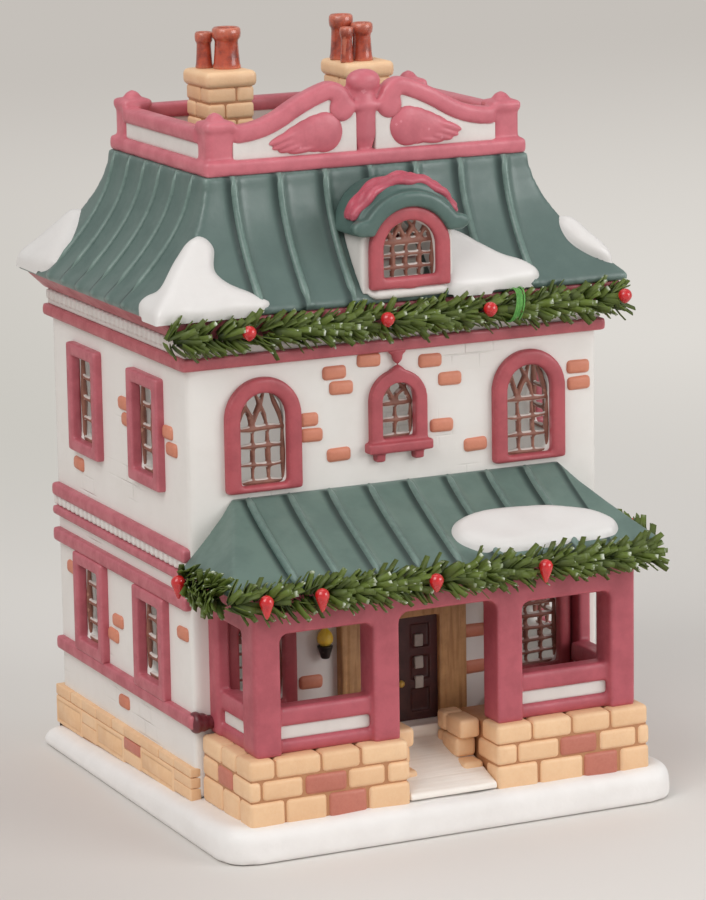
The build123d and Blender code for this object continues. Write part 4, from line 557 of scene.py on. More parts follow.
# %% [markdown]
# ## Ground of snow
# The slab is a lump of smooth snow that swells a little. Sculpting by hand would not repeat, so a fixed
# wave of a few sines presses its top and sides in by parts of a millimetre, and never out of the CAD box.

# %% Snow ground
SNOW_PRESS = 0.45
SNOW_FOOT = 1.5
SNOW_FADE = 2.0


def snow_swell(place):
    x, y, z = (value / MM for value in place)
    slow = 0.5 * math.sin(x * 0.13 + 1.3) * math.cos(y * 0.11 - 0.4)
    return 0.5 + slow + 0.25 * math.sin(x * 0.31 - y * 0.27 + z * 0.2)


def make_snow_ground():
    form = melt(copy_nodes(["base_slab"]), 1.3, 6)
    form.normal_update()
    for vert in form.verts:
        above = vert.co.z / MM - SNOW_FOOT
        if above > 0:
            press = SNOW_PRESS * MM * max(0.0, snow_swell(vert.co)) * min(1.0, above / SNOW_FADE)
            vert.co -= vert.normal * press
    smooth(form, 2)
    return show_piece(form, "snow_ground", [SNOW_GROUND], stands_for=["base_slab"])


make_snow_ground()

# %% [markdown]
# ## Bricks and stones
# Single bricks stand out of the render, and the foundation is laid from panels and small stones. Each one is
# a cube with bevelled edges, turned by a hair from a seeded random. A float on its points tells the material
# how dark this brick is, so that one material serves them all.

# %% Brick material and brick maker
BUFF, RED, JOINT = range(3)
TONE_SHARE = 0.3


def brick_paint(name, paint, hollow, rubbed, gather=0.9):
    material, tree, shader = start_material(name)
    coat = brushed(tree, paint, hollow, rubbed, 170.0, 0.3, 0.4, gather, 0.5)
    toned = blend(tree, times(tree, attribute(tree, "tone"), TONE_SHARE), coat["Color"], colour(*hollow))
    surface(tree, shader, toned, coat["Roughness"], coat["Height"], 0.15)
    return material


BRICK_PAINTS = [
    brick_paint("buff brick", (243, 200, 155), (216, 162, 116), (246, 218, 184)),
    brick_paint("red brick", (196, 114, 96), (158, 82, 68), (214, 150, 130)),
    brick_paint("brick joint", (188, 130, 88), (152, 96, 62), (206, 156, 114)),
]


def add_brick(form, low, high, edge, chance, paint_index=BUFF, turn=0.012):
    tone_layer = form.verts.layers.float.get("tone") or form.verts.layers.float.new("tone")
    made = bmesh.ops.create_cube(form, size=1.0)["verts"]
    size = high - low
    jitter = Euler([chance.uniform(-turn, turn) for _ in range(3)]).to_matrix().to_4x4()
    place = Matrix.Translation((low + high) / 2) @ jitter @ Matrix.Diagonal((*size, 1.0))
    bmesh.ops.transform(form, matrix=place, verts=made)
    edges = list({link for vert in made for link in vert.link_edges})
    offset = min(edge, 0.45 * min(size))
    rounded = bmesh.ops.bevel(form, geom=edges, offset=offset, segments=3, profile=0.5, affect="EDGES",
                              material=-1)
    tone = 0.5 if paint_index == JOINT else chance.random()
    faces = {face for vert in rounded["verts"] for face in vert.link_faces}
    for vert in rounded["verts"]:
        vert[tone_layer] = tone
    for face in faces:
        face.material_index = paint_index
    return faces


def sunk_box(low, high, depth):
    low, high = low.copy(), high.copy()
    if abs(high.y - WALL_FRONT) < ON_WALL:
        high.y += depth
    elif abs(low.y - WALL_BACK) < ON_WALL:
        low.y -= depth
    elif low.x > 0:
        low.x -= depth
    else:
        high.x += depth
    return low, high


print("Brick paints:", [paint.name for paint in BRICK_PAINTS])

# %% Painted bricks in the render
PAD_SINK = 1.6
PAD_EDGE = 1.25


def make_wall_bricks():
    chance = random.Random(31)
    form = bmesh.new()
    paint = brick_paint("terracotta brick", (212, 132, 104), (184, 104, 80), (226, 162, 136))
    pads = node_parts("wall_bricks")
    for low, high in pads:
        add_brick(form, *sunk_box(low, high, PAD_SINK * MM), PAD_EDGE * MM, chance, turn=0.035)
    print("Bricks in the render:", len(pads))
    return show_piece(form, "painted_bricks", [paint], stands_for=["wall_bricks"])


make_wall_bricks()

# %% Foundation of panels and small stones
STONE_BAYS = ((0.0, 0.2, "panel"), (0.2, 0.31, "stack"), (0.31, 0.52, "panel"),
              (0.52, 0.64, "brick"), (0.64, 0.88, "panel"), (0.88, 1.0, "stack"))
PANEL_STONES = ((0.0, 1.0, 0.0, 0.7), (0.0, 0.55, 0.72, 1.0), (0.57, 1.0, 0.72, 1.0))
STACK_STONES = ((0.0, 1.0, 0.0, 0.36), (0.0, 1.0, 0.38, 0.7), (0.0, 1.0, 0.72, 1.0))
STONE_FRAME = 1.0
STONE_JOINT = 0.6
STONE_GROOVE = 0.22
GROOVE_WIDE = 0.3
STONE_SINK = 1.5
STONE_GAP = Vector((0.06, 0.06, 0.06)) * MM
STONE_EDGE = 0.38
CORE_EDGE = 0.3
SNOW_REAR = 5.6
SNOW_FRONT = 9.4


def lay_bay(form, chance, start, end, corner, kind):
    """Lays one bay; corner maps a share along it, a height share and a depth to a point."""
    stones = PANEL_STONES if kind == "panel" else STACK_STONES
    for number, (left, right, bottom, top) in enumerate(stones):
        wide = end - start
        ends = (corner(start + wide * left, bottom, 0), corner(start + wide * right, top, 1))
        low = Vector([min(pair) for pair in zip(*ends)]) + STONE_GAP
        high = Vector([max(pair) for pair in zip(*ends)]) - STONE_GAP
        paint_index = RED if kind == "brick" and number == 1 else BUFF
        faces = add_brick(form, low, high, STONE_EDGE * MM, chance, paint_index, 0.006)
        if kind == "panel" and number == 0:
            outward = corner(0.5, 0.5, 1) - corner(0.5, 0.5, 0)
            front = max(faces, key=lambda face: face.normal.dot(outward) * face.calc_area())
            bmesh.ops.inset_individual(form, faces=[front], thickness=STONE_FRAME * MM, depth=0.0)
            for depth in (-STONE_GROOVE, STONE_GROOVE):
                bmesh.ops.inset_individual(form, faces=[front], thickness=GROOVE_WIDE * MM, depth=depth * MM)


def make_foundation():
    chance = random.Random(37)
    low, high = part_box("foundation_stones")
    slab_low, slab_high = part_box("base_slab")
    behind = Vector((1.0, 1.0, 1.0)) * STONE_JOINT * MM
    core_low, core_high = low + behind, high - behind
    inner_x, inner_y = WALL_X - STONE_SINK * MM, WALL_BACK - STONE_SINK * MM
    form = bmesh.new()
    for core in ((core_low, Vector((-inner_x, core_high.y, core_high.z))),
                 (Vector((inner_x, core_low.y, core_low.z)), core_high),
                 (Vector((core_low.x, inner_y, core_low.z)), core_high - behind / 4)):
        add_brick(form, *core, CORE_EDGE * MM, chance, JOINT, turn=0.0)

    def level(y, up):
        share = (slab_high.y - y) / (slab_high.y - slab_low.y)
        foot = (SNOW_REAR + (SNOW_FRONT - SNOW_REAR) * share) * MM
        return foot + (high.z - foot) * up

    def rear_corner(along, up, out):
        return Vector((WALL_X * (2 * along - 1), high.y if out else inner_y, low.z + (high.z - low.z) * up))

    for start, end, kind in STONE_BAYS:
        for side in (-1, 1):
            outer = high.x if side > 0 else low.x

            def corner(along, up, out, outer=outer, side=side):
                y = high.y - (high.y - WALL_FRONT) * along
                return Vector((outer if out else side * inner_x, y, level(y, up)))

            lay_bay(form, chance, start, end, corner, kind)
        lay_bay(form, chance, start, end, rear_corner, kind)
    return show_piece(form, "foundation", BRICK_PAINTS, stands_for=["foundation_stones"])


make_foundation()

# %% [markdown]
# ## Trim of the walls
# Bands, frames and dentils are rolls and strips of clay pressed on the wet wall and painted red or left
# white. They come from their CAD nodes. A frame swells a little before it is smoothed, which turns its
# square section into a half-round one of the same size.

# %% Bands, dentils and frames
clay("cornice_red", ["cornice_band", "cornice_fascia"], CORNICE_RED, 0.55, 4, swell=0.15)
clay("cornice_white", ["cornice_frieze"], WHITE_PANEL, 0.4, 3)
# The side belts and frames take the lighter rose, which is painted light.
clay("side_belts", ["belt_bands"], SIDE_ROSE_PAINTED_LIGHT, 0.45, 6, swell=0.25)
clay("side_dentils", ["belt_dentils"], WHITE_PANEL, 0.4, 3)
clay("side_frames", ["side_window_frames"], SIDE_ROSE_PAINTED_LIGHT, 0.42, 8, swell=0.1)
clay("arch_frames", ["arch_window_frames"], RED_TRIM, 0.4, 12, swell=0.1)
clay("ground_frames", ["ground_window_frames"], RED_TRIM, 0.42, 8, swell=0.1)

# %% Centre frame with its drop, and the ends of the lower belts
DROP_CUT = 5.0
DROP_BALLS = (
    # down from the top, back from the middle, radii
    (5.0, 0.0, (1.5, 1.2, 1.1)),
    (1.5, 0.3, (1.5, 1.2, 2.0)),
    (0.2, 0.3, (2.7, 1.2, 1.0)),
)
TIP_OUT = 0.2
TIP_UP = 1.5
TIP_FALL = 0.08
TIP_BALLS = (
    # in from the wall's corner, radii
    (0.2, (1.7, 3.0, 2.9)),
    (2.0, (1.8, 2.9, 2.4)),
    (4.0, (1.9, 2.6, 1.8)),
    (6.0, (1.8, 1.9, 1.2)),
    (7.6, (1.6, 1.1, 0.6)),
)


def make_centre_frame():
    stands_for = ["centre_window_frame", "centre_window_sill"]
    form = copy_nodes(stands_for)
    sink_into_walls(form, WALL_SINK * MM)
    low, high = box_mm("centre_window_frame")
    everything = list(form.verts) + list(form.edges) + list(form.faces)
    cut = (0, 0, (high.z - DROP_CUT) * MM)
    bmesh.ops.bisect_plane(form, geom=everything, plane_co=cut, plane_no=(0, 0, 1), clear_outer=True)
    bmesh.ops.holes_fill(form, edges=[edge for edge in form.edges if edge.is_boundary])
    for down, back, radii in DROP_BALLS:
        add_ball(form, ((low.x + high.x) / 2, (low.y + high.y) / 2 + back, high.z - down), radii)
    form = melt(form, 0.3, 8, 0.1)
    return show_piece(form, "centre_frame", [RED_TRIM], stands_for=stands_for)


# The belts' ends take the dark maroon, which is painted shade.
def make_belt_tips():
    form = bmesh.new()
    level = box_mm("belt_bands")[0].z + TIP_UP
    for side in (-1, 1):
        for inward, radii in TIP_BALLS:
            aside = side * (WALL_X / MM - inward)
            add_ball(form, (aside, WALL_FRONT / MM - TIP_OUT, level - TIP_FALL * inward), radii)
    return show_piece(melt(form, 0.3, 9, 0.15), "belt_tips", [PAINTED_SHADE_TIP])


make_centre_frame()
make_belt_tips()

# %% [markdown]
# ## Window lattices
# The lattices were cut by hand: a grid of slightly uneven bars, with crossing ribs in the head, brown on the
# face and bare white clay on the cut sides. The bars are beads with a little jitter, melted together. The
# material reads which way a face looks: outward faces are brown, the others stay white.

# %% Lattice material
def cut_lattice_paint():
    material, tree, shader = start_material("cut lattice")
    coat = brushed(tree, (142, 92, 76), (92, 56, 46), (186, 140, 122), 260.0, 0.5, 0.6, 0.4, 0.5)
    facing = split(tree, face_normal(tree))
    level = maths(tree, "SUBTRACT", 1.0, maths(tree, "ABSOLUTE", facing["Z"]))
    frontward = times(tree, facing["Y"], -1.0)
    outward = maths(tree, "MAXIMUM", frontward, maths(tree, "ABSOLUTE", facing["X"]))
    brown = ramp(tree, times(tree, outward, level), 0.12, 0.4)
    toned = blend(tree, brown, colour(222, 214, 208), coat["Color"])
    surface(tree, shader, toned, coat["Roughness"], coat["Height"], 0.15)
    return material


CUT_LATTICE = cut_lattice_paint()
print("Lattice paint:", CUT_LATTICE.name)

# %% Lattices of all windows
LATTICE_BAR = 0.74
LATTICE_DEEP = 1.1
BORDER_BAR = 1.3 * LATTICE_BAR
RIB = 0.9 * LATTICE_BAR
RIB_CURVE = ((0.0, 0.0), (0.2, 0.35), (0.5, 0.65), (0.85, 1.0))
BAR_OVERLAP = 0.6
FLAT_HEAD = 1.0
SWAY = 0.3
LIFT = 0.25
BAR_SHARE = (0.85, 1.2)


def add_lattice(form, place, across, wide, tall, columns, rows, transom, chance):
    """Lays the bars of one window; place turns a sideways and an upward measure into a point."""
    def bar(points, half):
        path = []
        for aside, up in points:
            path.append(place(aside + chance.uniform(-SWAY, SWAY), up + chance.uniform(-LIFT, LIFT)))
        add_bead(form, path, across, LATTICE_DEEP, half * chance.uniform(*BAR_SHARE), 8)

    pitch = wide / columns
    head = tall * transom
    rise = tall - head
    for row in range(rows + 1):
        up = head * row / rows
        reach = wide / 2 + BAR_OVERLAP
        half = LATTICE_BAR if 0 < row < rows else BORDER_BAR
        bar([(-reach, up), (-wide / 4, up), (wide / 4, up), (reach, up)], half)
    for column in range(columns + 1):
        aside = pitch * column - wide / 2
        bar([(aside, 0.0), (aside, head / 2), (aside, head)], LATTICE_BAR)
        for sway in (-pitch, pitch):
            if rise > FLAT_HEAD and abs(aside + sway) <= wide / 2:
                bar([(aside + out * sway, head + share * rise) for out, share in RIB_CURVE], RIB)


def make_lattices(name, node, columns, rows, transom, seed):
    chance = random.Random(seed)
    form = bmesh.new()
    for corners in node_parts(node):
        low, high = (corner / MM for corner in corners)
        size = [far - near for near, far in zip(low, high)]
        run = 0 if size[0] > size[1] else 1

        def place(aside, up):
            point = (low + high) / 2
            point[run] += aside
            point.z = low.z + up
            return point

        across = ALONG_X if run else ALONG_Y
        add_lattice(form, place, across, size[run], size[2], columns, rows, transom, chance)
    return show_piece(melt(form, 0.3, 2), name, [CUT_LATTICE], stands_for=[node])


make_lattices("side_lattices", "side_window_lattices", 2, 4, 1.0, 67)
make_lattices("arch_lattices", "arch_window_lattices", 3, 3, 0.6, 41)
make_lattices("centre_lattice", "centre_window_lattice", 2, 2, 0.6, 43)
make_lattices("ground_lattices", "ground_window_lattices", 3, 5, 0.8, 47)
make_lattices("dormer_lattice", "dormer_window_lattice", 4, 3, 0.64, 53)

# %% [markdown]
# ## Door and lanterns
# The door is dark brown with panes, between two grained tan pilasters. The grain runs upright, so the
# pilasters' material stretches a noise along Z. The lantern's flame is a drop, turned with a spin.

# %% Grained wood, and turned pieces
def grained(name, stretch, coat_values, marks, dark, depth):
    material, tree, shader = start_material(name)
    grain = noise(tree, stretched_place(tree, stretch), 1.0, 4.0)
    coat = brushed(tree, *coat_values)
    toned = blend(tree, ramp(tree, grain, *marks), coat["Color"], colour(*dark))
    surface(tree, shader, toned, coat["Roughness"], times(tree, grain, -1.0), depth)
    return material


def turned(form, profile, centre, steps):
    """Spins a profile round the upright axis; a tag marks the points of the pieces made before."""
    rim = [form.verts.new((radius, 0.0, height)) for radius, height in profile]
    edges = [form.edges.new(pair) for pair in zip(rim, rim[1:])]
    bmesh.ops.spin(form, geom=rim + edges, cent=(0, 0, 0), axis=(0, 0, 1), angle=math.tau, steps=steps,
                   use_merge=True)
    fresh = [vert for vert in form.verts if not vert.tag]
    bmesh.ops.translate(form, verts=fresh, vec=centre)
    bmesh.ops.remove_doubles(form, verts=form.verts, dist=MERGE_WITHIN / 2)
    for vert in form.verts:
        vert.tag = True


def make_turned(name, node, profile, paint, steps):
    """Turns one piece for each solid of the node, from a profile of shares of its radius and height."""
    form = bmesh.new()
    for low, high in node_parts(node):
        wide = (high.x - low.x) / 2
        tall = high.z - low.z
        centre = Vector(((low.x + high.x) / 2, (low.y + high.y) / 2, low.z))
        turned(form, [(wide * across, tall * up) for across, up in profile], centre, steps)
    return show_piece(form, name, [paint], stands_for=[node])


TAN_WOOD = grained("grained tan", (900.0, 900.0, 60.0),
                   ((192, 146, 98), (118, 76, 44), (214, 176, 130), 180.0, 0.3, 0.5, 0.9, 0.5),
                   (0.45, 0.68, 0.0, 0.6), (140, 94, 56), 0.2)
print("Wood:", TAN_WOOD.name)

# %% Door, pilasters and lanterns
FLAME_PROFILE = ((0.0, 0.0), (0.6, 0.02), (0.95, 0.2), (1.0, 0.4), (0.8, 0.62), (0.42, 0.82), (0.12, 0.96),
                 (0.0, 1.0))
PANE_ASIDE = 4.9
PANE_OUT = 0.5
PANE_SHARES = (0.36, 0.55, 0.76)
PANE_HALF = Vector((1.25, 0.7, 1.7)) * MM
PANE_EDGE = 0.3


def make_panes():
    chance = random.Random(61)
    low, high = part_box("front_door")
    form = bmesh.new()
    for side in (-1, 1):
        for share in PANE_SHARES:
            centre = Vector((side * PANE_ASIDE * MM, low.y + PANE_OUT * MM, low.z + (high.z - low.z) * share))
            add_brick(form, centre - PANE_HALF, centre + PANE_HALF, PANE_EDGE * MM, chance, turn=0.03)
    pane = brick_paint("door pane", (172, 162, 154), (96, 84, 80), (196, 188, 180), 0.5)
    return show_piece(form, "door_panes", [pane])


clay("brown_door", ["front_door"], DOOR_BROWN, 0.3, 2)
make_panes()
clay("tan_surround", ["door_pilasters", "door_lintel"], TAN_WOOD, 0.33, 4, swell=0.1)
clay("gold_knob", ["door_knob"], KNOB_GOLD, 0.15, 3)
clay("lantern_bowls", ["lantern_cups"], LANTERN_BLACK, 0.22, 3)
make_turned("lantern_flames", "lantern_glasses", FLAME_PROFILE, LANTERN_YELLOW, 20)

# %% [markdown]
# ## Porch frame and walk
# Posts, rails and beams of the porch were modelled in one go, so all three nodes melt into one piece
# with soft corners. The walk is pale boards: the CAD grooves part them, and the material adds grain.

# %% Porch frame, panels and walk
PALE_BOARDS = grained("pale boards", (60.0, 700.0, 700.0),
                      ((249, 243, 236), (238, 227, 216), (250, 247, 242), 120.0, 0.3, 0.3, 0.9, 0.58),
                      (0.48, 0.7, 0.0, 0.55), (236, 225, 214), 0.18)
clay("porch_frame", ["porch_posts", "porch_rails", "porch_beams"], ROSE_FRAME, 0.5, 6, swell=0.2)
clay("porch_white", ["porch_panels"], WHITE_PANEL, 0.4, 2)
clay("board_walk", ["porch_walk"], PALE_BOARDS, 0.5, 2)

# %% [markdown]
# ## Brick plinths
# The plinths are courses of plump bricks of unequal length, most of them buff and a few red, round a core
# that shows as the joint. A corner brick is long enough to be the first one of the side as well.

# %% Left and right plinth
PLINTH_BACK = -31.2
LANDING_FRONT = -38.2
LANDING_WIDE = 12.5
JOINT_GAP = 0.35
BRICK_EDGE = 1.15
BRICK_DEEP = 6.0
CORE_INSET = 0.65
CORE_ROUND = 0.5
SHORTEST = 2.0
COURSES = ((21.2, 26.5), (15.6, 21.0), (8.4, 15.4))
LEFT_ROWS = (
    ((-58.6, -51.2), (-50.9, -38.2), (-37.9, -27.0), (-26.5, -13.2)),
    ((-58.6, -55.2), (-54.9, -43.4), (-42.8, -30.8), (-30.5, -19.9), (-19.1, -12.7)),
    ((-58.6, -48.6), (-48.3, -36.7), (-36.1, -25.2), (-24.6, -12.7)),
)
RIGHT_ROWS = (
    ((12.7, 23.3), (23.6, 35.1), (35.4, 46.7), (47.0, 58.1)),
    ((12.7, 18.8), (19.1, 31.3), (31.6, 42.8), (43.5, 54.6), (55.1, 58.6)),
    ((12.9, 25.0), (25.6, 38.5), (38.8, 49.1), (49.7, 58.6)),
)
RED_FRONT = ((1, 2), (2, 2))
RED_SIDE = (1, 0)
SIDE_CUTS = ((-53.0, -43.5, PLINTH_BACK), (-50.5, -41.0, PLINTH_BACK), (-55.0, -44.0, PLINTH_BACK))


def side_bricks(form, face, back, chance, red_brick=None):
    inward = -math.copysign(BRICK_DEEP, face)
    for row, (low_z, high_z) in enumerate(COURSES):
        cuts = [cut for cut in SIDE_CUTS[row] if cut < back - SHORTEST] + [back]
        for step, (start, end) in enumerate(zip(cuts, cuts[1:])):
            low = Vector((min(face, face + inward), start + JOINT_GAP / 2, low_z)) * MM
            high = Vector((max(face, face + inward), end - JOINT_GAP / 2, high_z)) * MM
            add_brick(form, low, high, BRICK_EDGE * MM, chance, RED if (row, step) == red_brick else BUFF)


def make_plinth(side, rows, node, seed):
    chance = random.Random(seed)
    low_box, high_box = box_mm(node)
    outer, inner = (low_box.x, high_box.x) if side == "left" else (high_box.x, low_box.x)
    form = bmesh.new()
    for back, trim, inset in ((PLINTH_BACK, LANDING_WIDE, CORE_INSET),
                              (LANDING_FRONT, CORE_INSET, CORE_INSET + 0.15)):
        ends = sorted((outer - math.copysign(inset, outer), inner + math.copysign(trim, outer)))
        core_low = Vector((ends[0], low_box.y + inset, low_box.z + 0.2)) * MM
        core_high = Vector((ends[1], back, high_box.z - inset)) * MM
        add_brick(form, core_low, core_high, CORE_ROUND * MM, chance, JOINT, turn=0.0)
    for row, (low_z, high_z) in enumerate(COURSES):
        for step, (start, end) in enumerate(rows[row]):
            at_corner = step in (0, len(rows[row]) - 1)
            back = SIDE_CUTS[row][0] - JOINT_GAP / 2 if at_corner else low_box.y + BRICK_DEEP
            low = Vector((start, low_box.y, low_z)) * MM
            high = Vector((end, back, high_z)) * MM
            add_brick(form, low, high, BRICK_EDGE * MM, chance, RED if (row, step) in RED_FRONT else BUFF)
    side_bricks(form, outer, PLINTH_BACK, chance, RED_SIDE)
    side_bricks(form, inner, LANDING_FRONT, chance)
    return show_piece(form, side + "_plinth_bricks", BRICK_PAINTS, stands_for=[node])


make_plinth("left", LEFT_ROWS, "left_porch_plinth", 11)
make_plinth("right", RIGHT_ROWS, "right_porch_plinth", 23)

# %% [markdown]
# ## Roofs
# Both roofs are bent sheets with standing seams. The sheet comes from the CAD node, melted with a coarse
# grain, and each seam is laid on it again as a bead, because a grain fine enough for the seams would cost
# ten times the faces. Short functions give a point of each slope, by a share t from the eave up. The sheet's
# material paints a soft dark line beside one side of each seam, as painted shadow, on the slopes alone.

# %% Points on the slopes
ROOF_MID = 17.5
ROOF_EAVE = 138.3
ROOF_RISE = 32.5
ROOF_BEND = 1.8
EAVE_HALF = 68.6
EAVE_DEEP = 51.5
TOP_IN = 21.2
TOP_BACK = 17.65
PORCH_EAVE = 71.4
PORCH_RISE = 16.8
PORCH_BEND = 1.15
PORCH_FRONT = -63.1
PORCH_DEEP = 31.4


def roof_ring(t):
    share = 1.0 - (1.0 - t) ** ROOF_BEND
    return EAVE_HALF - TOP_IN * share, EAVE_DEEP - TOP_BACK * share, ROOF_EAVE + ROOF_RISE * t


def roof_point(face, along, t):
    half, deep, z = roof_ring(t)
    places = {
        "front": (along, ROOF_MID - deep, z),
        "rear": (along, ROOF_MID + deep, z),
        "left": (-half, along, z),
        "right": (half, along, z),
    }
    return Vector(places[face])


def porch_point(along, t):
    share = 1.0 - (1.0 - t) ** PORCH_BEND
    return Vector((along, PORCH_FRONT + PORCH_DEEP * share, PORCH_EAVE + PORCH_RISE * t))


print("Eave and top of the front slope:", roof_point("front", 0, 0), roof_point("front", 0, 1))

# %% Green sheet with shaded seams
ROOF_PITCH = 13.2
SIDE_PITCH = 10.8
PORCH_PITCH = 11.6
PORCH_START = 2.5
HIP_OFFSET = 15.3
SHADE_STARTS = (0.6, 1.1)
SHADE_ENDS = (3.4, 1.4)
SLOPING = (0.98, 0.93, 0.0, 0.85)


def seam_shade(tree, axis, pitch, start, side, beside, reach):
    """Paints a soft shadow line on one side of each seam, as far as the last seams reach."""
    share = maths(tree, "MULTIPLY_ADD", axis, 1.0 / (pitch * MM), 0.5 - start / pitch)
    away = times(tree, maths(tree, "SUBTRACT", maths(tree, "FRACT", share), 0.5), pitch * side)
    line = times(tree, ramp(tree, away, *SHADE_STARTS), ramp(tree, away, *SHADE_ENDS))
    return times(tree, line, maths(tree, "LESS_THAN", beside, reach * MM))


def seamed_green(name, pitch, start, reach, paint):
    material, tree, shader = start_material(name)
    # The rubbed colour lightens ridges and hips: partly worn paint, partly painted highlight.
    coat = brushed(tree, paint, (60, 82, 79), (144, 165, 158), 90.0, 0.3, 0.7, 0.6, 0.36)
    parts = split(tree, own_place(tree))
    back = maths(tree, "ABSOLUTE", maths(tree, "SUBTRACT", parts["Y"], ROOF_MID * MM))
    beside = maths(tree, "ABSOLUTE", parts["X"])
    sideways = maths(tree, "GREATER_THAN", maths(tree, "SUBTRACT", beside, back), HIP_OFFSET * MM)
    front = seam_shade(tree, parts["X"], pitch, start, -1.0, beside, reach)
    flank = seam_shade(tree, parts["Y"], SIDE_PITCH, ROOF_MID + SIDE_PITCH / 2, 1.0, back, 3 * SIDE_PITCH)
    shade = blend(tree, sideways, front, flank, "FLOAT")
    slope = ramp(tree, split(tree, face_normal(tree))["Z"], *SLOPING)
    # Painted shadow: the seam line darkens the green towards a dark green, on sloping faces only.
    toned = blend(tree, times(tree, shade, slope), coat["Color"], colour(28, 46, 44))
    surface(tree, shader, bare_within(tree, toned), coat["Roughness"], coat["Height"], 0.07)
    return material


ROOF_SHEET = seamed_green("seamed roof", ROOF_PITCH, 0.0, 3.5 * ROOF_PITCH, (93, 112, 107))
PORCH_SHEET = seamed_green("seamed porch roof", PORCH_PITCH, PORCH_START, 4.2 * PORCH_PITCH, (104, 126, 118))
print("Sheets:", ROOF_SHEET.name, "and", PORCH_SHEET.name)

# %% Green roofs with their seams
SEAM_STEPS = [step / 12 for step in range(13)]
FRONT_SEAMS = [ROOF_PITCH * step for step in range(-3, 4)]
SIDE_SEAMS = [ROOF_MID + SIDE_PITCH * (step + 0.5) for step in range(-3, 3)]
PORCH_SEAMS = [PORCH_START + PORCH_PITCH * step for step in range(-4, 4)]
FRONT_SEAM = (1.2, 1.6)
SIDE_SEAM = (0.95, 1.6)
PORCH_SEAM = (1.1, 1.35)


def lay_roof_seams():
    """The dormer hides the middle seam of the front, apart from its top."""
    form = bmesh.new()
    for x in FRONT_SEAMS:
        steps = SEAM_STEPS if x else SEAM_STEPS[-2:]
        add_bead(form, [roof_point("front", x, t) for t in steps], ALONG_X, *FRONT_SEAM)
        add_bead(form, [roof_point("rear", x, t) for t in SEAM_STEPS], ALONG_X, *FRONT_SEAM)
    for y in SIDE_SEAMS:
        for face in ("left", "right"):
            add_bead(form, [roof_point(face, y, t) for t in SEAM_STEPS[1:]], ALONG_Y, *SIDE_SEAM)
    return show_piece(form, "green_seams", [ROOF_GREEN])


def lay_porch_seams():
    form = bmesh.new()
    for x in PORCH_SEAMS:
        add_bead(form, [porch_point(x, t) for t in SEAM_STEPS], ALONG_X, *PORCH_SEAM)
    return show_piece(form, "green_porch_seams", [ROOF_GREEN])


clay("green_roof", ["mansard_roof"], ROOF_SHEET, 0.8, 5, sink=0)
lay_roof_seams()
clay("green_porch_roof", ["porch_roof"], PORCH_SHEET, 0.6, 5)
lay_porch_seams()

# %% [markdown]
# ## Dormer
# The dormer is a white body under a green hood, whose rolled rim hugs the red frame. Below the frame the
# body shows as a white sill, so a roll is laid there and the frame's foot is drawn up a little. Behind the
# rim lies a ruffled pink ribbon: three wavy beads side by side, melted into one band.

# %% Dormer
DORMER_SILL = 1.5
SILL_BACK = 1.7
SILL_UP = 0.4
SILL_HALF = (1.6, 1.5)
SILL_END = 0.4
SILL_BEND = 2.0


def make_dormer_body():
    form = copy_nodes(["dormer_body"])
    low, high = box_mm("dormer_window_frame")
    sides = (low.x + SILL_END, low.x + SILL_BEND, high.x - SILL_BEND, high.x - SILL_END)
    add_bead(form, [Vector((x, low.y + SILL_BACK, low.z + SILL_UP)) for x in sides], ALONG_Y, *SILL_HALF)
    form = melt(form, 0.5, 5)
    return show_piece(form, "white_dormer", [WHITE_PANEL], stands_for=["dormer_body"])


def make_dormer_frame():
    form = copy_nodes(["dormer_window_frame"])
    low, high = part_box("dormer_window_frame")
    for vert in form.verts:
        vert.co.z += DORMER_SILL * MM * (high.z - vert.co.z) / (high.z - low.z)
    form = melt(form, 0.35, 10, 0.15)
    return show_piece(form, "dormer_frame", [RED_TRIM], stands_for=["dormer_window_frame"])


clay("green_hood", ["dormer_hood"], ROOF_GREEN, 0.4, 9, sink=0, swell=0.3)
make_dormer_body()
make_dormer_frame()

# %% Ribbon
RIBBON_RADIUS = 16.3
RIBBON_DROP = 17.2
RIBBON_REACH = 66.0
RIBBON_STEPS = 28
RIBBON_EDGE = 1.2
RIBBON_HALF = (1.7, 1.35)
RUFFLE_TALL = 0.35
RUFFLE_SWAY = 0.5
STRAND_RISE = 0.25


def make_ribbon():
    low, high = box_mm("dormer_ribbon")
    middle = (low.x + high.x) / 2
    form = bmesh.new()
    for strand in range(3):
        y = low.y + RIBBON_EDGE + strand * (high.y - low.y - 2 * RIBBON_EDGE) / 2
        points = []
        for step in range(RIBBON_STEPS + 1):
            angle = math.radians(-RIBBON_REACH + 2 * RIBBON_REACH * step / RIBBON_STEPS)
            ruffle = RUFFLE_TALL * math.sin(step * 1.15 + strand * 2.1)
            radius = RIBBON_RADIUS + (ruffle + STRAND_RISE * strand)
            sway = RUFFLE_SWAY * math.sin(step * 0.8 + strand)
            height = high.z - RIBBON_DROP + radius * math.cos(angle)
            points.append(Vector((middle + radius * math.sin(angle), y + sway, height)))
        add_bead(form, points, ALONG_Y, *RIBBON_HALF)
    form = melt(form, 0.35, 2)
    return show_piece(form, "pink_ribbon", [RIBBON_PINK], stands_for=["dormer_ribbon"])


make_ribbon()

# %% [markdown]
# ## Snow on the roofs
# The snow lies in thick smooth patches that hide the seams. Balls melted together look lumpy, so a patch is a
# fine grid, bent on to the roof's own surface. A few points give its outline: the first number runs along the
# eave, round the hip where there is one, the second up the slope. What lies outside the outline is deleted,
# and the rest rises from it like a pillow.

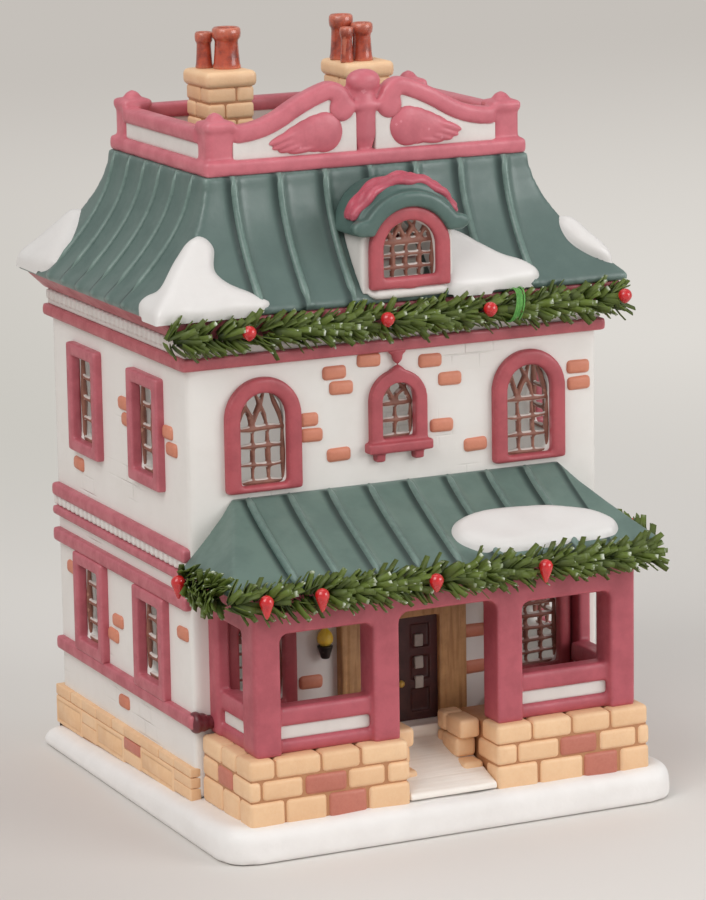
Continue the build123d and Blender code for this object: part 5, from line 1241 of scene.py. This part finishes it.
# %% Outlines of the patches
ROOF_SLOPE = 38.0
PORCH_SLOPE = 35.7
FRONT_LEFT_SNOW = ((0, 21), (6, 18), (9, 11.5), (15, 7.5), (23, 4.5), (30, 1.5), (29, -0.6), (20, -1),
                   (9, -1), (0, -1), (-9, -0.8), (-14, 0.6), (-11, 4), (-5.5, 7), (-4.5, 14))
REAR_LEFT_SNOW = ((0, 18), (-5, 15.4), (-10, 12), (-14, 9), (-19, 6), (-22, 2.4), (-19, 0.6), (-10, 0),
                  (0, 0), (7, 1), (9, 7), (5, 13.5))
FRONT_RIGHT_SNOW = ((0.5, 17.5), (4, 13), (5, 9), (3, 5), (0, 3.5), (-4, 6), (-6, 11), (-3, 16))
DORMER_SNOW = ((17, 17), (22.5, 16), (28, 12), (33, 8.7), (38.5, 6.3), (42, 3), (39.5, 0), (31, -0.4),
               (14, -0.4), (13, 8))
PORCH_SNOW = ((5.5, 11), (8, 15.5), (14, 18.3), (23, 19), (34, 18.2), (46, 15), (52.5, 9.5), (51, 5),
              (46, 3.6), (36, 3.2), (24, 2.6), (13, 3.2), (7.5, 6.5))


def hip_skin(side_x, side_y):
    def skin(aside, up):
        half, deep, z = roof_ring(up / ROOF_SLOPE)
        if aside > 0:
            return Vector((side_x * (half - aside), ROOF_MID + side_y * deep, z))
        return Vector((side_x * half, ROOF_MID + side_y * (deep + aside), z))
    return skin


def front_skin(aside, up):
    return roof_point("front", aside, up / ROOF_SLOPE)


def porch_skin(aside, up):
    return porch_point(aside, up / PORCH_SLOPE)


def round_outline(points, steps=6):
    """Draws a smooth closed curve through the points."""
    corners = [Vector(point) for point in points]
    count = len(corners)
    rim = []
    for step in range(count):
        before, start, end, after = (corners[(step + shift) % count] for shift in (-1, 0, 1, 2))
        for part in range(steps):
            t = part / steps
            bend = t * t * (before - 2.5 * start + 2 * end - 0.5 * after)
            rim.append(start + 0.5 * t * (end - before) + bend
                       + 0.5 * t ** 3 * (3 * start - 3 * end + after - before))
    return rim


def depth_inside(rim, point):
    """Gives how far a point lies inside the rim, or outside as a negative number."""
    nearest = math.inf
    inside = False
    for start, end in zip(rim, rim[1:] + rim[:1]):
        run = end - start
        share = min(max((point - start).dot(run) / run.length_squared, 0.0), 1.0)
        nearest = min(nearest, (point - start - share * run).length)
        if (start.y > point.y) != (end.y > point.y):
            if point.x < start.x + run.x * (point.y - start.y) / run.y:
                inside = not inside
    return nearest if inside else -nearest


print("Points round the porch's patch:", len(round_outline(PORCH_SNOW)))

# %% Snow patches
SNOW_GRID = 0.7
SNOW_ROUND = 3.4
SNOW_BED = 0.9
SNOW_BORDER = 1.6 * SNOW_GRID
SKIN_STEP = 1.5


def lift_off(skin, x, y):
    """Gives the direction that stands upright on the roof's surface."""
    run = skin(x + SKIN_STEP, y) - skin(x - SKIN_STEP, y)
    rise = skin(x, y + SKIN_STEP) - skin(x, y - SKIN_STEP)
    outward = run.cross(rise).normalized()
    return outward * math.copysign(1.0, outward.z)


def lay_snow(form, skin, outline, thick):
    rim = round_outline(outline)
    low = Vector([min(point[axis] for point in rim) - 2 * SNOW_GRID for axis in (0, 1)])
    cells = [int((max(point[axis] for point in rim) - low[axis]) / SNOW_GRID) + 2 for axis in (0, 1)]
    grid = bmesh.ops.create_grid(form, x_segments=cells[0], y_segments=cells[1], size=0.5)["verts"]
    outside = []
    for vert in grid:
        point = low + Vector([round((vert.co[axis] + 0.5) * cells[axis]) for axis in (0, 1)]) * SNOW_GRID
        depth = depth_inside(rim, point)
        if depth <= -SNOW_BORDER:
            outside.append(vert)
            continue
        share = min(max(depth / SNOW_ROUND, 0.0), 1.0)
        wave = 0.2 * math.sin(0.4 * point.x) * math.sin(0.5 * point.y)
        bed = SNOW_BED * min(max(-depth / SNOW_GRID, 0.0), 1.0)
        height = (thick + wave) * math.sqrt(1.0 - (1.0 - share) ** 2) - bed
        vert.co = (skin(point.x, point.y) + lift_off(skin, point.x, point.y) * height) * MM
    bmesh.ops.delete(form, geom=outside, context="VERTS")


def heap_snow(name, node, patches):
    form = bmesh.new()
    for skin, outline, thick in patches:
        lay_snow(form, skin, outline, thick)
    bmesh.ops.delete(form, geom=[vert for vert in form.verts if not vert.link_faces], context="VERTS")
    smooth(form, 3)
    keep_in_box(form)
    return show_piece(form, name, [GLAZED_SNOW], stands_for=[node])


heap_snow("snow_on_roof", "roof_snow", (
    (hip_skin(-1, -1), FRONT_LEFT_SNOW, 2.3),
    (hip_skin(-1, 1), REAR_LEFT_SNOW, 2.4),
    (hip_skin(1, -1), FRONT_RIGHT_SNOW, 2.6),
    (front_skin, DORMER_SNOW, 2.6),
))
heap_snow("snow_on_porch", "porch_roof_snow", ((porch_skin, PORCH_SNOW, 2.4),))

# %% [markdown]
# ## Parapet
# The rose ironwork round the flat roof is a curb, posts, rails and scrolls that run into each other, so
# these four nodes melt into one piece, together with a centre post rolled from beads and a ball. The white
# panels stay apart, as they have another paint.

# %% Parapet
PARAPET_NODES = ["parapet_curb", "parapet_rails", "parapet_posts", "parapet_scrolls"]
DOME_RADII = (4.7, 3.0)
DOME_DOWN = 3.0
COLLAR_SIDES = (-5.2, -2.0, 2.0, 5.2)
COLLAR_BACK = 1.5
COLLAR_DOWN = 9.4
COLLAR_HALF = (1.4, 1.3)
POST_HALF = 3.2
POST_SLIM = 0.6
SHOULDER_BACK = 0.6
SHOULDER_DOWN = (11.0, 9.5, 5.0, DOME_DOWN)
SHOULDER_HALF = (6.0, 1.4)


def make_parapet():
    form = copy_nodes(PARAPET_NODES)
    low, high = box_mm("parapet_centre_post")
    middle = (low.y + high.y) / 2
    deep = (high.y - low.y) / 2
    dome = high.z - DOME_DOWN
    collar = [Vector((x, low.y + COLLAR_BACK, high.z - COLLAR_DOWN)) for x in COLLAR_SIDES]
    post = [Vector((0, middle, z)) for z in (low.z - 0.5, low.z + 4.0, high.z - 8.0, dome)]
    shoulder = [Vector((0, middle + SHOULDER_BACK, high.z - down)) for down in SHOULDER_DOWN]
    add_ball(form, (0.0, middle, dome), (DOME_RADII[0], deep, DOME_RADII[1]), segments=32)
    add_bead(form, collar, ALONG_Y, *COLLAR_HALF)
    add_bead(form, post, ALONG_X, POST_HALF, deep - POST_SLIM, 16)
    add_bead(form, shoulder, ALONG_X, *SHOULDER_HALF, 16)
    form = melt(form, 0.48, 9, 0.3)
    stands_for = PARAPET_NODES + ["parapet_centre_post"]
    return show_piece(form, "parapet_frame", [PARAPET_ROSE], stands_for=stands_for)


make_parapet()
clay("parapet_white", ["parapet_panels"], WHITE_PANEL, 0.4, 2, sink=0)

# %% [markdown]
# ## Wings of the parapet
# On each side of the centre post a wing is pressed on the panel: a leaf that is round next to the post
# and tapers down and out, with short feathers at its tip. Overlapping flat ellipsoids melt into that shape.

# %% Wings
WING_LOBES = (
    # along from the middle, up from the curb, half length, half height, half thickness, turn in degrees
    (12.2, 5.5, 5.3, 5.4, 1.35, 0.0),
    (14.4, 5.4, 5.8, 5.0, 1.45, 14.0),
    (17.0, 5.1, 6.2, 4.3, 1.45, 18.0),
    (19.6, 4.9, 6.2, 3.3, 1.35, 20.0),
    (23.4, 5.0, 5.2, 1.25, 1.4, 19.0),
    (22.6, 3.5, 5.0, 1.15, 1.35, 17.0),
    (20.9, 2.3, 4.8, 1.1, 1.3, 13.0),
    (18.4, 1.5, 4.6, 1.05, 1.25, 7.0),
)


def make_wings():
    low, high = box_mm("parapet_leaves")
    form = bmesh.new()
    for side in (-1, 1):
        for along, up, half_length, half_height, thick, turn in WING_LOBES:
            tilt = Matrix.Rotation(side * math.radians(turn), 4, "Y")
            add_ball(form, (side * along, high.y, low.z + up), (half_length, thick, half_height), tilt, 32)
    stands_for = ["parapet_leaves"]
    form = melt(form, 0.26, 3)
    return show_piece(form, "parapet_wings", [PARAPET_ROSE], stands_for=stands_for)


make_wings()

# %% [markdown]
# ## Chimneys and pots
# The stacks are laid from the same plump bricks under a heavy rounded cap. The glazed pots are turned, each
# from one profile that is scaled to its CAD solid.

# %% Chimney stacks
STACK_COURSES = 4
STACK_EDGE = 0.85
STACK_INSET = Vector((0.5, 0.5, 0.0)) * MM
BED_GAP = 0.12 * MM
HEAD_GAP = 0.15 * MM
EVEN_SPLIT, ODD_SPLIT = 0.38, 0.62
CAP_TALL = 4.2
CAP_LIP = Vector((0.8, 0.8, 0.0)) * MM
CAP_EDGE = 1.5
CAP_OVERLAP = 0.3 * MM


def make_chimney(node, seed):
    chance = random.Random(seed)
    low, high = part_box(node)
    start = low + CAP_LIP
    end = high - CAP_LIP
    end.z = high.z - CAP_TALL * MM
    form = bmesh.new()
    add_brick(form, start + STACK_INSET, end - STACK_INSET, CORE_EDGE * MM, chance, JOINT, turn=0.0)
    tall = (end.z - start.z) / STACK_COURSES
    for course in range(STACK_COURSES):
        bottom = start.z + course * tall + BED_GAP
        top = bottom + tall - 2 * BED_GAP
        share = ODD_SPLIT if course % 2 else EVEN_SPLIT
        split_x = start.x + (end.x - start.x) * share
        split_y = start.y + (end.y - start.y) * (1.0 - share)
        for left, right in ((start.x, split_x - HEAD_GAP), (split_x + HEAD_GAP, end.x)):
            for front, back in ((start.y, split_y - HEAD_GAP), (split_y + HEAD_GAP, end.y)):
                brick = Vector((left, front, bottom)), Vector((right, back, top))
                add_brick(form, *brick, STACK_EDGE * MM, chance)
    cap_low = Vector((low.x, low.y, end.z - CAP_OVERLAP))
    add_brick(form, cap_low, high, CAP_EDGE * MM, chance, BUFF, turn=0.004)
    return show_piece(form, node + "_bricks", BRICK_PAINTS, stands_for=[node])


make_chimney("left_chimney", 5)
make_chimney("right_chimney", 7)

# %% Chimney pots
POT_PROFILE = (
    (0.0, 0.0), (0.94, 0.0), (0.98, 0.04), (0.9, 0.14), (0.84, 0.4), (0.8, 0.64), (0.84, 0.7), (0.97, 0.76),
    (1.0, 0.86), (0.97, 0.96), (0.86, 1.0), (0.68, 0.97), (0.62, 0.75), (0.0, 0.72),
)
make_turned("glazed_pots", "chimney_pots", POT_PROFILE, POT_CLAY, 28)

# %% [markdown]
# ## Garlands
# The garlands are wire wrapped with flat green strips that all lean one way, with frosted tips. A hair
# system would give thin needles, so one strip is modelled and set down hundreds of times by a seeded
# random. A float runs from root to tip, and the material turns it into frost.

# %% Garland material and one strip
STRIP_LENGTH = 6.8
STRIP_WIDTH = 2.0
STRIP_THICK = 0.24
STRIP_CURL = 0.9


def garland_green():
    material, tree, shader = start_material("garland strip")
    along = attribute(tree, "along")
    tone = attribute(tree, "tone")
    speck = noise(tree, own_place(tree), 700.0, 3.0)
    green = blend(tree, tone, colour(36, 48, 10), colour(86, 104, 28))
    green = blend(tree, ramp(tree, along, 0.1, 0.9, 0.0, 0.4), green, colour(106, 124, 44))
    frost = times(tree, ramp(tree, along, 0.82, 1.0), ramp(tree, speck, 0.45, 0.6))
    frost = times(tree, frost, ramp(tree, tone, 0.45, 0.95))
    toned = blend(tree, frost, green, colour(214, 222, 206))
    surface(tree, shader, toned, ramp(tree, speck, 0.3, 0.7, 0.45, 0.7), speck, 0.1)
    return material


def strip_mesh():
    form = bmesh.new()
    bmesh.ops.create_grid(form, x_segments=3, y_segments=1, size=0.5)
    for vert in form.verts:
        share = vert.co.x + 0.5
        vert.co.x = share * STRIP_LENGTH * MM
        vert.co.y *= STRIP_WIDTH * MM * (0.72 + 0.28 * math.sin(math.pi * min(1.0, share + 0.2)))
        vert.co.z = STRIP_CURL * MM * share * share
    bmesh.ops.solidify(form, geom=form.faces, thickness=STRIP_THICK * MM)
    bmesh.ops.recalc_face_normals(form, faces=form.faces)
    return mesh_of(form, "strip")


GARLAND_GREEN = garland_green()
STRIP = strip_mesh()
print("One strip:", len(STRIP.polygons), "faces")

# %% Wind the garlands
BERRY_NEST = (-2.0, 5.5)
NEST_FRONT = 0.9
WRAP = 128.0
LEAN_LEAST = 24.0
LEAN_MOST = 42.0
LEAN_ASIDE = 34.0
ROOT_OUT = (0.2, 1.2)
LENGTHS = (0.65, 1.0)
SPINS = (-0.6, 0.6)


def add_strip(form, root, along, outward, lean, length, spin, tone):
    layers = form.verts.layers.float
    along_layer = layers.get("along") or layers.new("along")
    tone_layer = layers.get("tone") or layers.new("tone")
    before = len(form.verts)
    form.from_mesh(STRIP)
    form.verts.ensure_lookup_table()
    fresh = form.verts[before:]
    for vert in fresh:
        vert[along_layer] = vert.co.x / (STRIP_LENGTH * MM)
        vert[tone_layer] = tone
    forward = (along * math.cos(lean) + outward * math.sin(lean)).normalized()
    across = forward.cross(outward).normalized()
    axes = Matrix((forward, across, forward.cross(across))).transposed().to_4x4()
    size = Matrix.Diagonal((length, 1.0, 1.0, 1.0))
    place = Matrix.Translation(root) @ axes @ Matrix.Rotation(spin, 4, "X") @ size
    bmesh.ops.transform(form, matrix=place, verts=fresh)


def wind_garland(name, node, along, front, count, seed, tuck=1.0, lift=-1.0, trim=1.0):
    chance = random.Random(seed)
    low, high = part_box(node)
    core = (low + high) / 2 - front * tuck * MM + Vector((0, 0, lift * MM))
    axis = max(range(3), key=lambda step: abs(along[step]))
    reach = STRIP_LENGTH * MM * trim
    start = low[axis] + (0.0 if along[axis] > 0 else reach)
    end = high[axis] - (reach if along[axis] > 0 else 0.0)
    berries = [(berry_low + berry_high) / 2 for berry_low, berry_high in node_parts("garland_berries")]
    form = bmesh.new()
    for step in range(count):
        root = core.copy()
        root[axis] = start + (end - start) * (step + chance.random()) / count
        around = math.radians(chance.uniform(-WRAP, WRAP))
        outward = front * math.cos(around) + ALONG_Z * math.sin(around)
        root += outward * chance.uniform(*ROOT_OUT) * MM
        lean = math.radians(chance.uniform(LEAN_LEAST, LEAN_MOST + LEAN_ASIDE * abs(math.sin(around))))
        ahead = [(berry[axis] - root[axis]) * along[axis] / MM for berry in berries]
        if abs(around) < NEST_FRONT and any(BERRY_NEST[0] < gap < BERRY_NEST[1] for gap in ahead):
            continue
        length = chance.uniform(*LENGTHS)
        spin = chance.uniform(*SPINS)
        add_strip(form, root, along, outward, lean, length, spin, chance.random())
    return show_piece(form, name, [GARLAND_GREEN], stands_for=[node])


wind_garland("upper_garland_strips", "upper_garland", ALONG_X, -ALONG_Y, 720, 3, trim=0.95)
wind_garland("lower_garland_strips", "lower_garland", ALONG_X, -ALONG_Y, 700, 4, 2.1, -0.6, 1.5)
wind_garland("left_end_strips", "left_end_garland", -ALONG_Y, -ALONG_X, 150, 6, 2.4, 0.0, 0.6)
wind_garland("right_end_strips", "right_end_garland", ALONG_Y, ALONG_X, 130, 8, 6.4, 0.0, 1.0)

# %% Thread that ties the upper garland
TIE_TURNS = 6
TIE_START = 31.0
TIE_PITCH = 0.42
TIE_RADIUS = 3.3
TIE_TALL = 1.25
TIE_THREAD = 0.2
TIE_SLACK = (-0.2, 0.4)
TIE_SLANT = 0.9
TIE_ANGLES = [math.radians(-120.0 + 20.0 * step) for step in range(13)]


def tie_thread():
    material, tree, shader = start_material("tie thread")
    fibre = noise(tree, own_place(tree), 900.0, 2.0)
    green = blend(tree, fibre, colour(60, 130, 52), colour(120, 186, 96))
    surface(tree, shader, green, ramp(tree, fibre, 0.3, 0.7, 0.45, 0.65))
    return material


def make_tie():
    form = bmesh.new()
    low, high = box_mm("upper_garland")
    middle = (low + high) / 2
    chance = random.Random(19)
    for turn in range(TIE_TURNS):
        radius = TIE_RADIUS + chance.uniform(*TIE_SLACK)
        start = TIE_START + turn * TIE_PITCH
        path = []
        for angle in TIE_ANGLES:
            aside = start + TIE_SLANT * math.sin(angle)
            height = middle.z + TIE_TALL * radius * math.sin(angle)
            path.append(Vector((aside, middle.y - radius * math.cos(angle), height)))
        add_bead(form, path, ALONG_X, TIE_THREAD, TIE_THREAD, 6)
    return show_piece(form, "tie_threads", [tie_thread()])


make_tie()

# %% [markdown]
# ## Berries
# Glossy red drops hang in the strips, some round and some with a pointed tail. A sphere is enough to start
# from: its lower points are pulled down and in.

# %% Berries
BERRY_RADIUS = 1.9 * MM
BERRY_OUT = 1.2 * MM
BERRY_ASIDE = 1.6
BERRY_COAT = 0.7
TAIL = 2.6 * MM
ROUND_TAIL = 0.1
LONG_TAILS = (1.0, 0.5)
TAIL_SLIM = 0.25
BELT_LEVEL = 100.0 * MM


def berry_red():
    material, tree, shader = start_material("berry gloss")
    coat = brushed(tree, (206, 26, 34), (140, 10, 18), (226, 70, 66), 300.0, 0.4, 0.2, 0.4, 0.22)
    surface(tree, shader, coat["Color"], coat["Roughness"])
    shader.inputs["Coat Weight"].default_value = BERRY_COAT
    return material


def berry_centre(low, high):
    """A berry on the front hangs in front of its solid's face, one at an end beside it."""
    centre = (low + high) / 2
    if high.y - low.y > high.x - low.x:
        centre.y = max(low.y - BERRY_OUT, cad_box[0][1]) + BERRY_RADIUS
    elif centre.x < 0:
        centre.x = low.x + BERRY_ASIDE * BERRY_RADIUS
    else:
        centre.x = high.x - BERRY_ASIDE * BERRY_RADIUS
    return centre


def make_berries():
    chance = random.Random(2)
    form = bmesh.new()
    for low, high in node_parts("garland_berries"):
        centre = berry_centre(low, high)
        tail = TAIL * (ROUND_TAIL if centre.z > BELT_LEVEL else chance.choice(LONG_TAILS))
        made = bmesh.ops.create_uvsphere(form, u_segments=20, v_segments=14, radius=BERRY_RADIUS)["verts"]
        for vert in made:
            share = max(0.0, -vert.co.z / BERRY_RADIUS)
            vert.co.z -= tail * share ** 3
            vert.co.x *= 1.0 - TAIL_SLIM * share ** 2
            vert.co.y *= 1.0 - TAIL_SLIM * share ** 2
        bmesh.ops.translate(form, verts=made, vec=centre)
    return show_piece(form, "glossy_berries", [berry_red()], stands_for=["garland_berries"])


make_berries()

# %% [markdown]
# ## Clip-in lamp
# The lamp in the rear wall is moulded plastic with spring clips and a small clear bulb. Its CAD shapes are
# right as they are, so only their materials are made here: plastic with a fine grain, brushed steel and
# brass, and glass that keeps plain transmission.

# %% Lamp materials
LAMP_GRAIN = 500.0
EVEN = (1.0, 1.0, 1.0)
BRUSH_LINES = (0.2, 4.0, 4.0)
GLASS_IOR = 1.47


def fine_grain(name, tone, dark, roughness, metallic=0.0, stretch=EVEN):
    material, tree, shader = start_material(name)
    grain = noise(tree, stretched_place(tree, stretch), LAMP_GRAIN, 4.0)
    toned = blend(tree, ramp(tree, grain, 0.35, 0.7), colour(*tone), colour(*dark))
    surface(tree, shader, toned, ramp(tree, grain, 0.3, 0.7, roughness - 0.06, roughness + 0.1), grain, 0.05)
    shader.inputs["Metallic"].default_value = metallic
    return material


def bulb_glass():
    material, tree, shader = start_material("bulb glass")
    haze = noise(tree, own_place(tree), 220.0, 2.0)
    toned = blend(tree, haze, (0.98, 0.98, 0.96, 1.0), (0.94, 0.95, 0.92, 1.0))
    surface(tree, shader, toned, ramp(tree, haze, 0.3, 0.7, 0.02, 0.07))
    shader.inputs["Transmission Weight"].default_value = 1.0
    shader.inputs["IOR"].default_value = GLASS_IOR
    return material


LAMP_PAINTS = {
    "lamp_socket": fine_grain("moulded white", (234, 232, 226), (226, 224, 217), 0.42),
    "lamp_clips": fine_grain("spring steel", (168, 168, 170), (138, 138, 142), 0.3, 1.0, BRUSH_LINES),
    "bulb_base": fine_grain("screw brass", (206, 168, 92), (168, 128, 62), 0.28, 1.0),
    "bulb_glass": bulb_glass(),
}
for lamp_node, lamp_paint in LAMP_PAINTS.items():
    nodes[lamp_node].data.materials.clear()
    nodes[lamp_node].data.materials.append(lamp_paint)
print("Lamp nodes:", len(LAMP_PAINTS))

# %% [markdown]
# ## Floor and light
# A pale floor runs far behind the house, so it is also the background. Lamps near the house would leave
# the far floor dark, so there the floor glows with painted light, lighter to the right and darker further
# back, but only for rays that look at it. Near the house the floor is painted darker to the left, as
# painted shadow. One big soft lamp stands high on the left, another on the right, a weak one above, and the
# grey world fills the rest. A dim lamp inside stands for the daylight that would bounce about in the hollow
# white house.

# %% Floor
FLOOR_HALF = 6.0
FLOOR_CELLS = 8


def sweep_paint():
    material, tree, shader = start_material("pale sweep")
    place = own_place(tree)
    parts = split(tree, place)
    cloud = noise(tree, place, 2.0, 1.0)
    # Painted shadow: the near floor is darker to the left of the house.
    lit = ramp(tree, parts["X"], -0.14, -0.03)
    near_tone_painted_shadow = blend(tree, lit, colour(203, 197, 192), colour(225, 221, 217))
    surface(tree, shader, near_tone_painted_shadow, ramp(tree, cloud, 0.3, 0.7, 0.6, 0.75))
    rays = add_node(tree, "ShaderNodeLightPath").outputs
    seen = maths(tree, "MAXIMUM", rays["Is Glossy Ray"], rays["Is Transmission Ray"])
    seen = maths(tree, "MAXIMUM", rays["Is Camera Ray"], seen)
    # Painted light: the far floor glows, lighter to the right and darker further back.
    far_painted_light = blend(tree, ramp(tree, parts["X"], 0.05, 0.42), colour(202, 199, 192), colour(222, 218, 212))
    far_painted_light = blend(tree, ramp(tree, parts["Y"], 0.5, 1.65), far_painted_light, colour(197, 192, 186))
    glow = add_node(tree, "ShaderNodeEmission", Color=far_painted_light, Strength=1.0)
    far = ramp(tree, parts["Y"], 0.1, 0.55)
    mixed = add_node(tree, "ShaderNodeMixShader", Fac=times(tree, far, seen))
    feed(tree, mixed.inputs[1], shader.outputs["BSDF"])
    feed(tree, mixed.inputs[2], glow.outputs["Emission"])
    feed(tree, tree.nodes["Material Output"].inputs["Surface"], mixed.outputs["Shader"])
    return material


def make_floor():
    form = bmesh.new()
    bmesh.ops.create_grid(form, x_segments=FLOOR_CELLS, y_segments=FLOOR_CELLS, size=FLOOR_HALF)
    mesh = mesh_of(form, "pale_floor")
    mesh.materials.append(sweep_paint())
    floor = put_in_scene("pale_floor", mesh)
    return floor


print("Floor:", make_floor().name)

# %% Lamps and world
INSIDE_WATTS = 0.024
INSIDE_RADIUS = 0.02
INSIDE_PLACE = (0.0, 0.012, 0.085)
WORLD_GREY = (0.62, 0.615, 0.6, 1.0)
WORLD_STRENGTH = 0.75


def softbox(name, place, target, size, watts, tint=(1.0, 1.0, 1.0)):
    light = bpy.data.lights.new(name, "AREA")
    light.shape = "RECTANGLE"
    light.size, light.size_y = size
    light.energy = watts
    light.color = tint
    aim = (Vector(target) - Vector(place)).to_track_quat("-Z", "Y")
    put_in_scene(name, light).matrix_world = Matrix.Translation(place) @ aim.to_matrix().to_4x4()


def light_scene():
    softbox("key", (-0.9, -0.5, 1.1), (0.0, 0.0, 0.09), (0.9, 0.9), 9.6, (1.0, 0.99, 0.98))
    softbox("fill", (0.9, -1.0, 0.6), (0.0, 0.0, 0.09), (0.9, 0.7), 8.2)
    softbox("top", (0.0, 0.2, 1.3), (0.0, 0.0, 0.1), (0.8, 0.8), 2.0)
    inside = bpy.data.lights.new("inside", "POINT")
    inside.energy = INSIDE_WATTS
    inside.shadow_soft_size = INSIDE_RADIUS
    put_in_scene("inside", inside).location = INSIDE_PLACE
    world = bpy.data.worlds.new("studio grey")
    world.use_nodes = True
    background = world.node_tree.nodes["Background"].inputs
    background["Color"].default_value = WORLD_GREY
    background["Strength"].default_value = WORLD_STRENGTH
    bpy.context.scene.world = world
    bpy.context.scene.view_settings.view_transform = "Standard"


light_scene()
print("Lights:", len(bpy.data.lights))
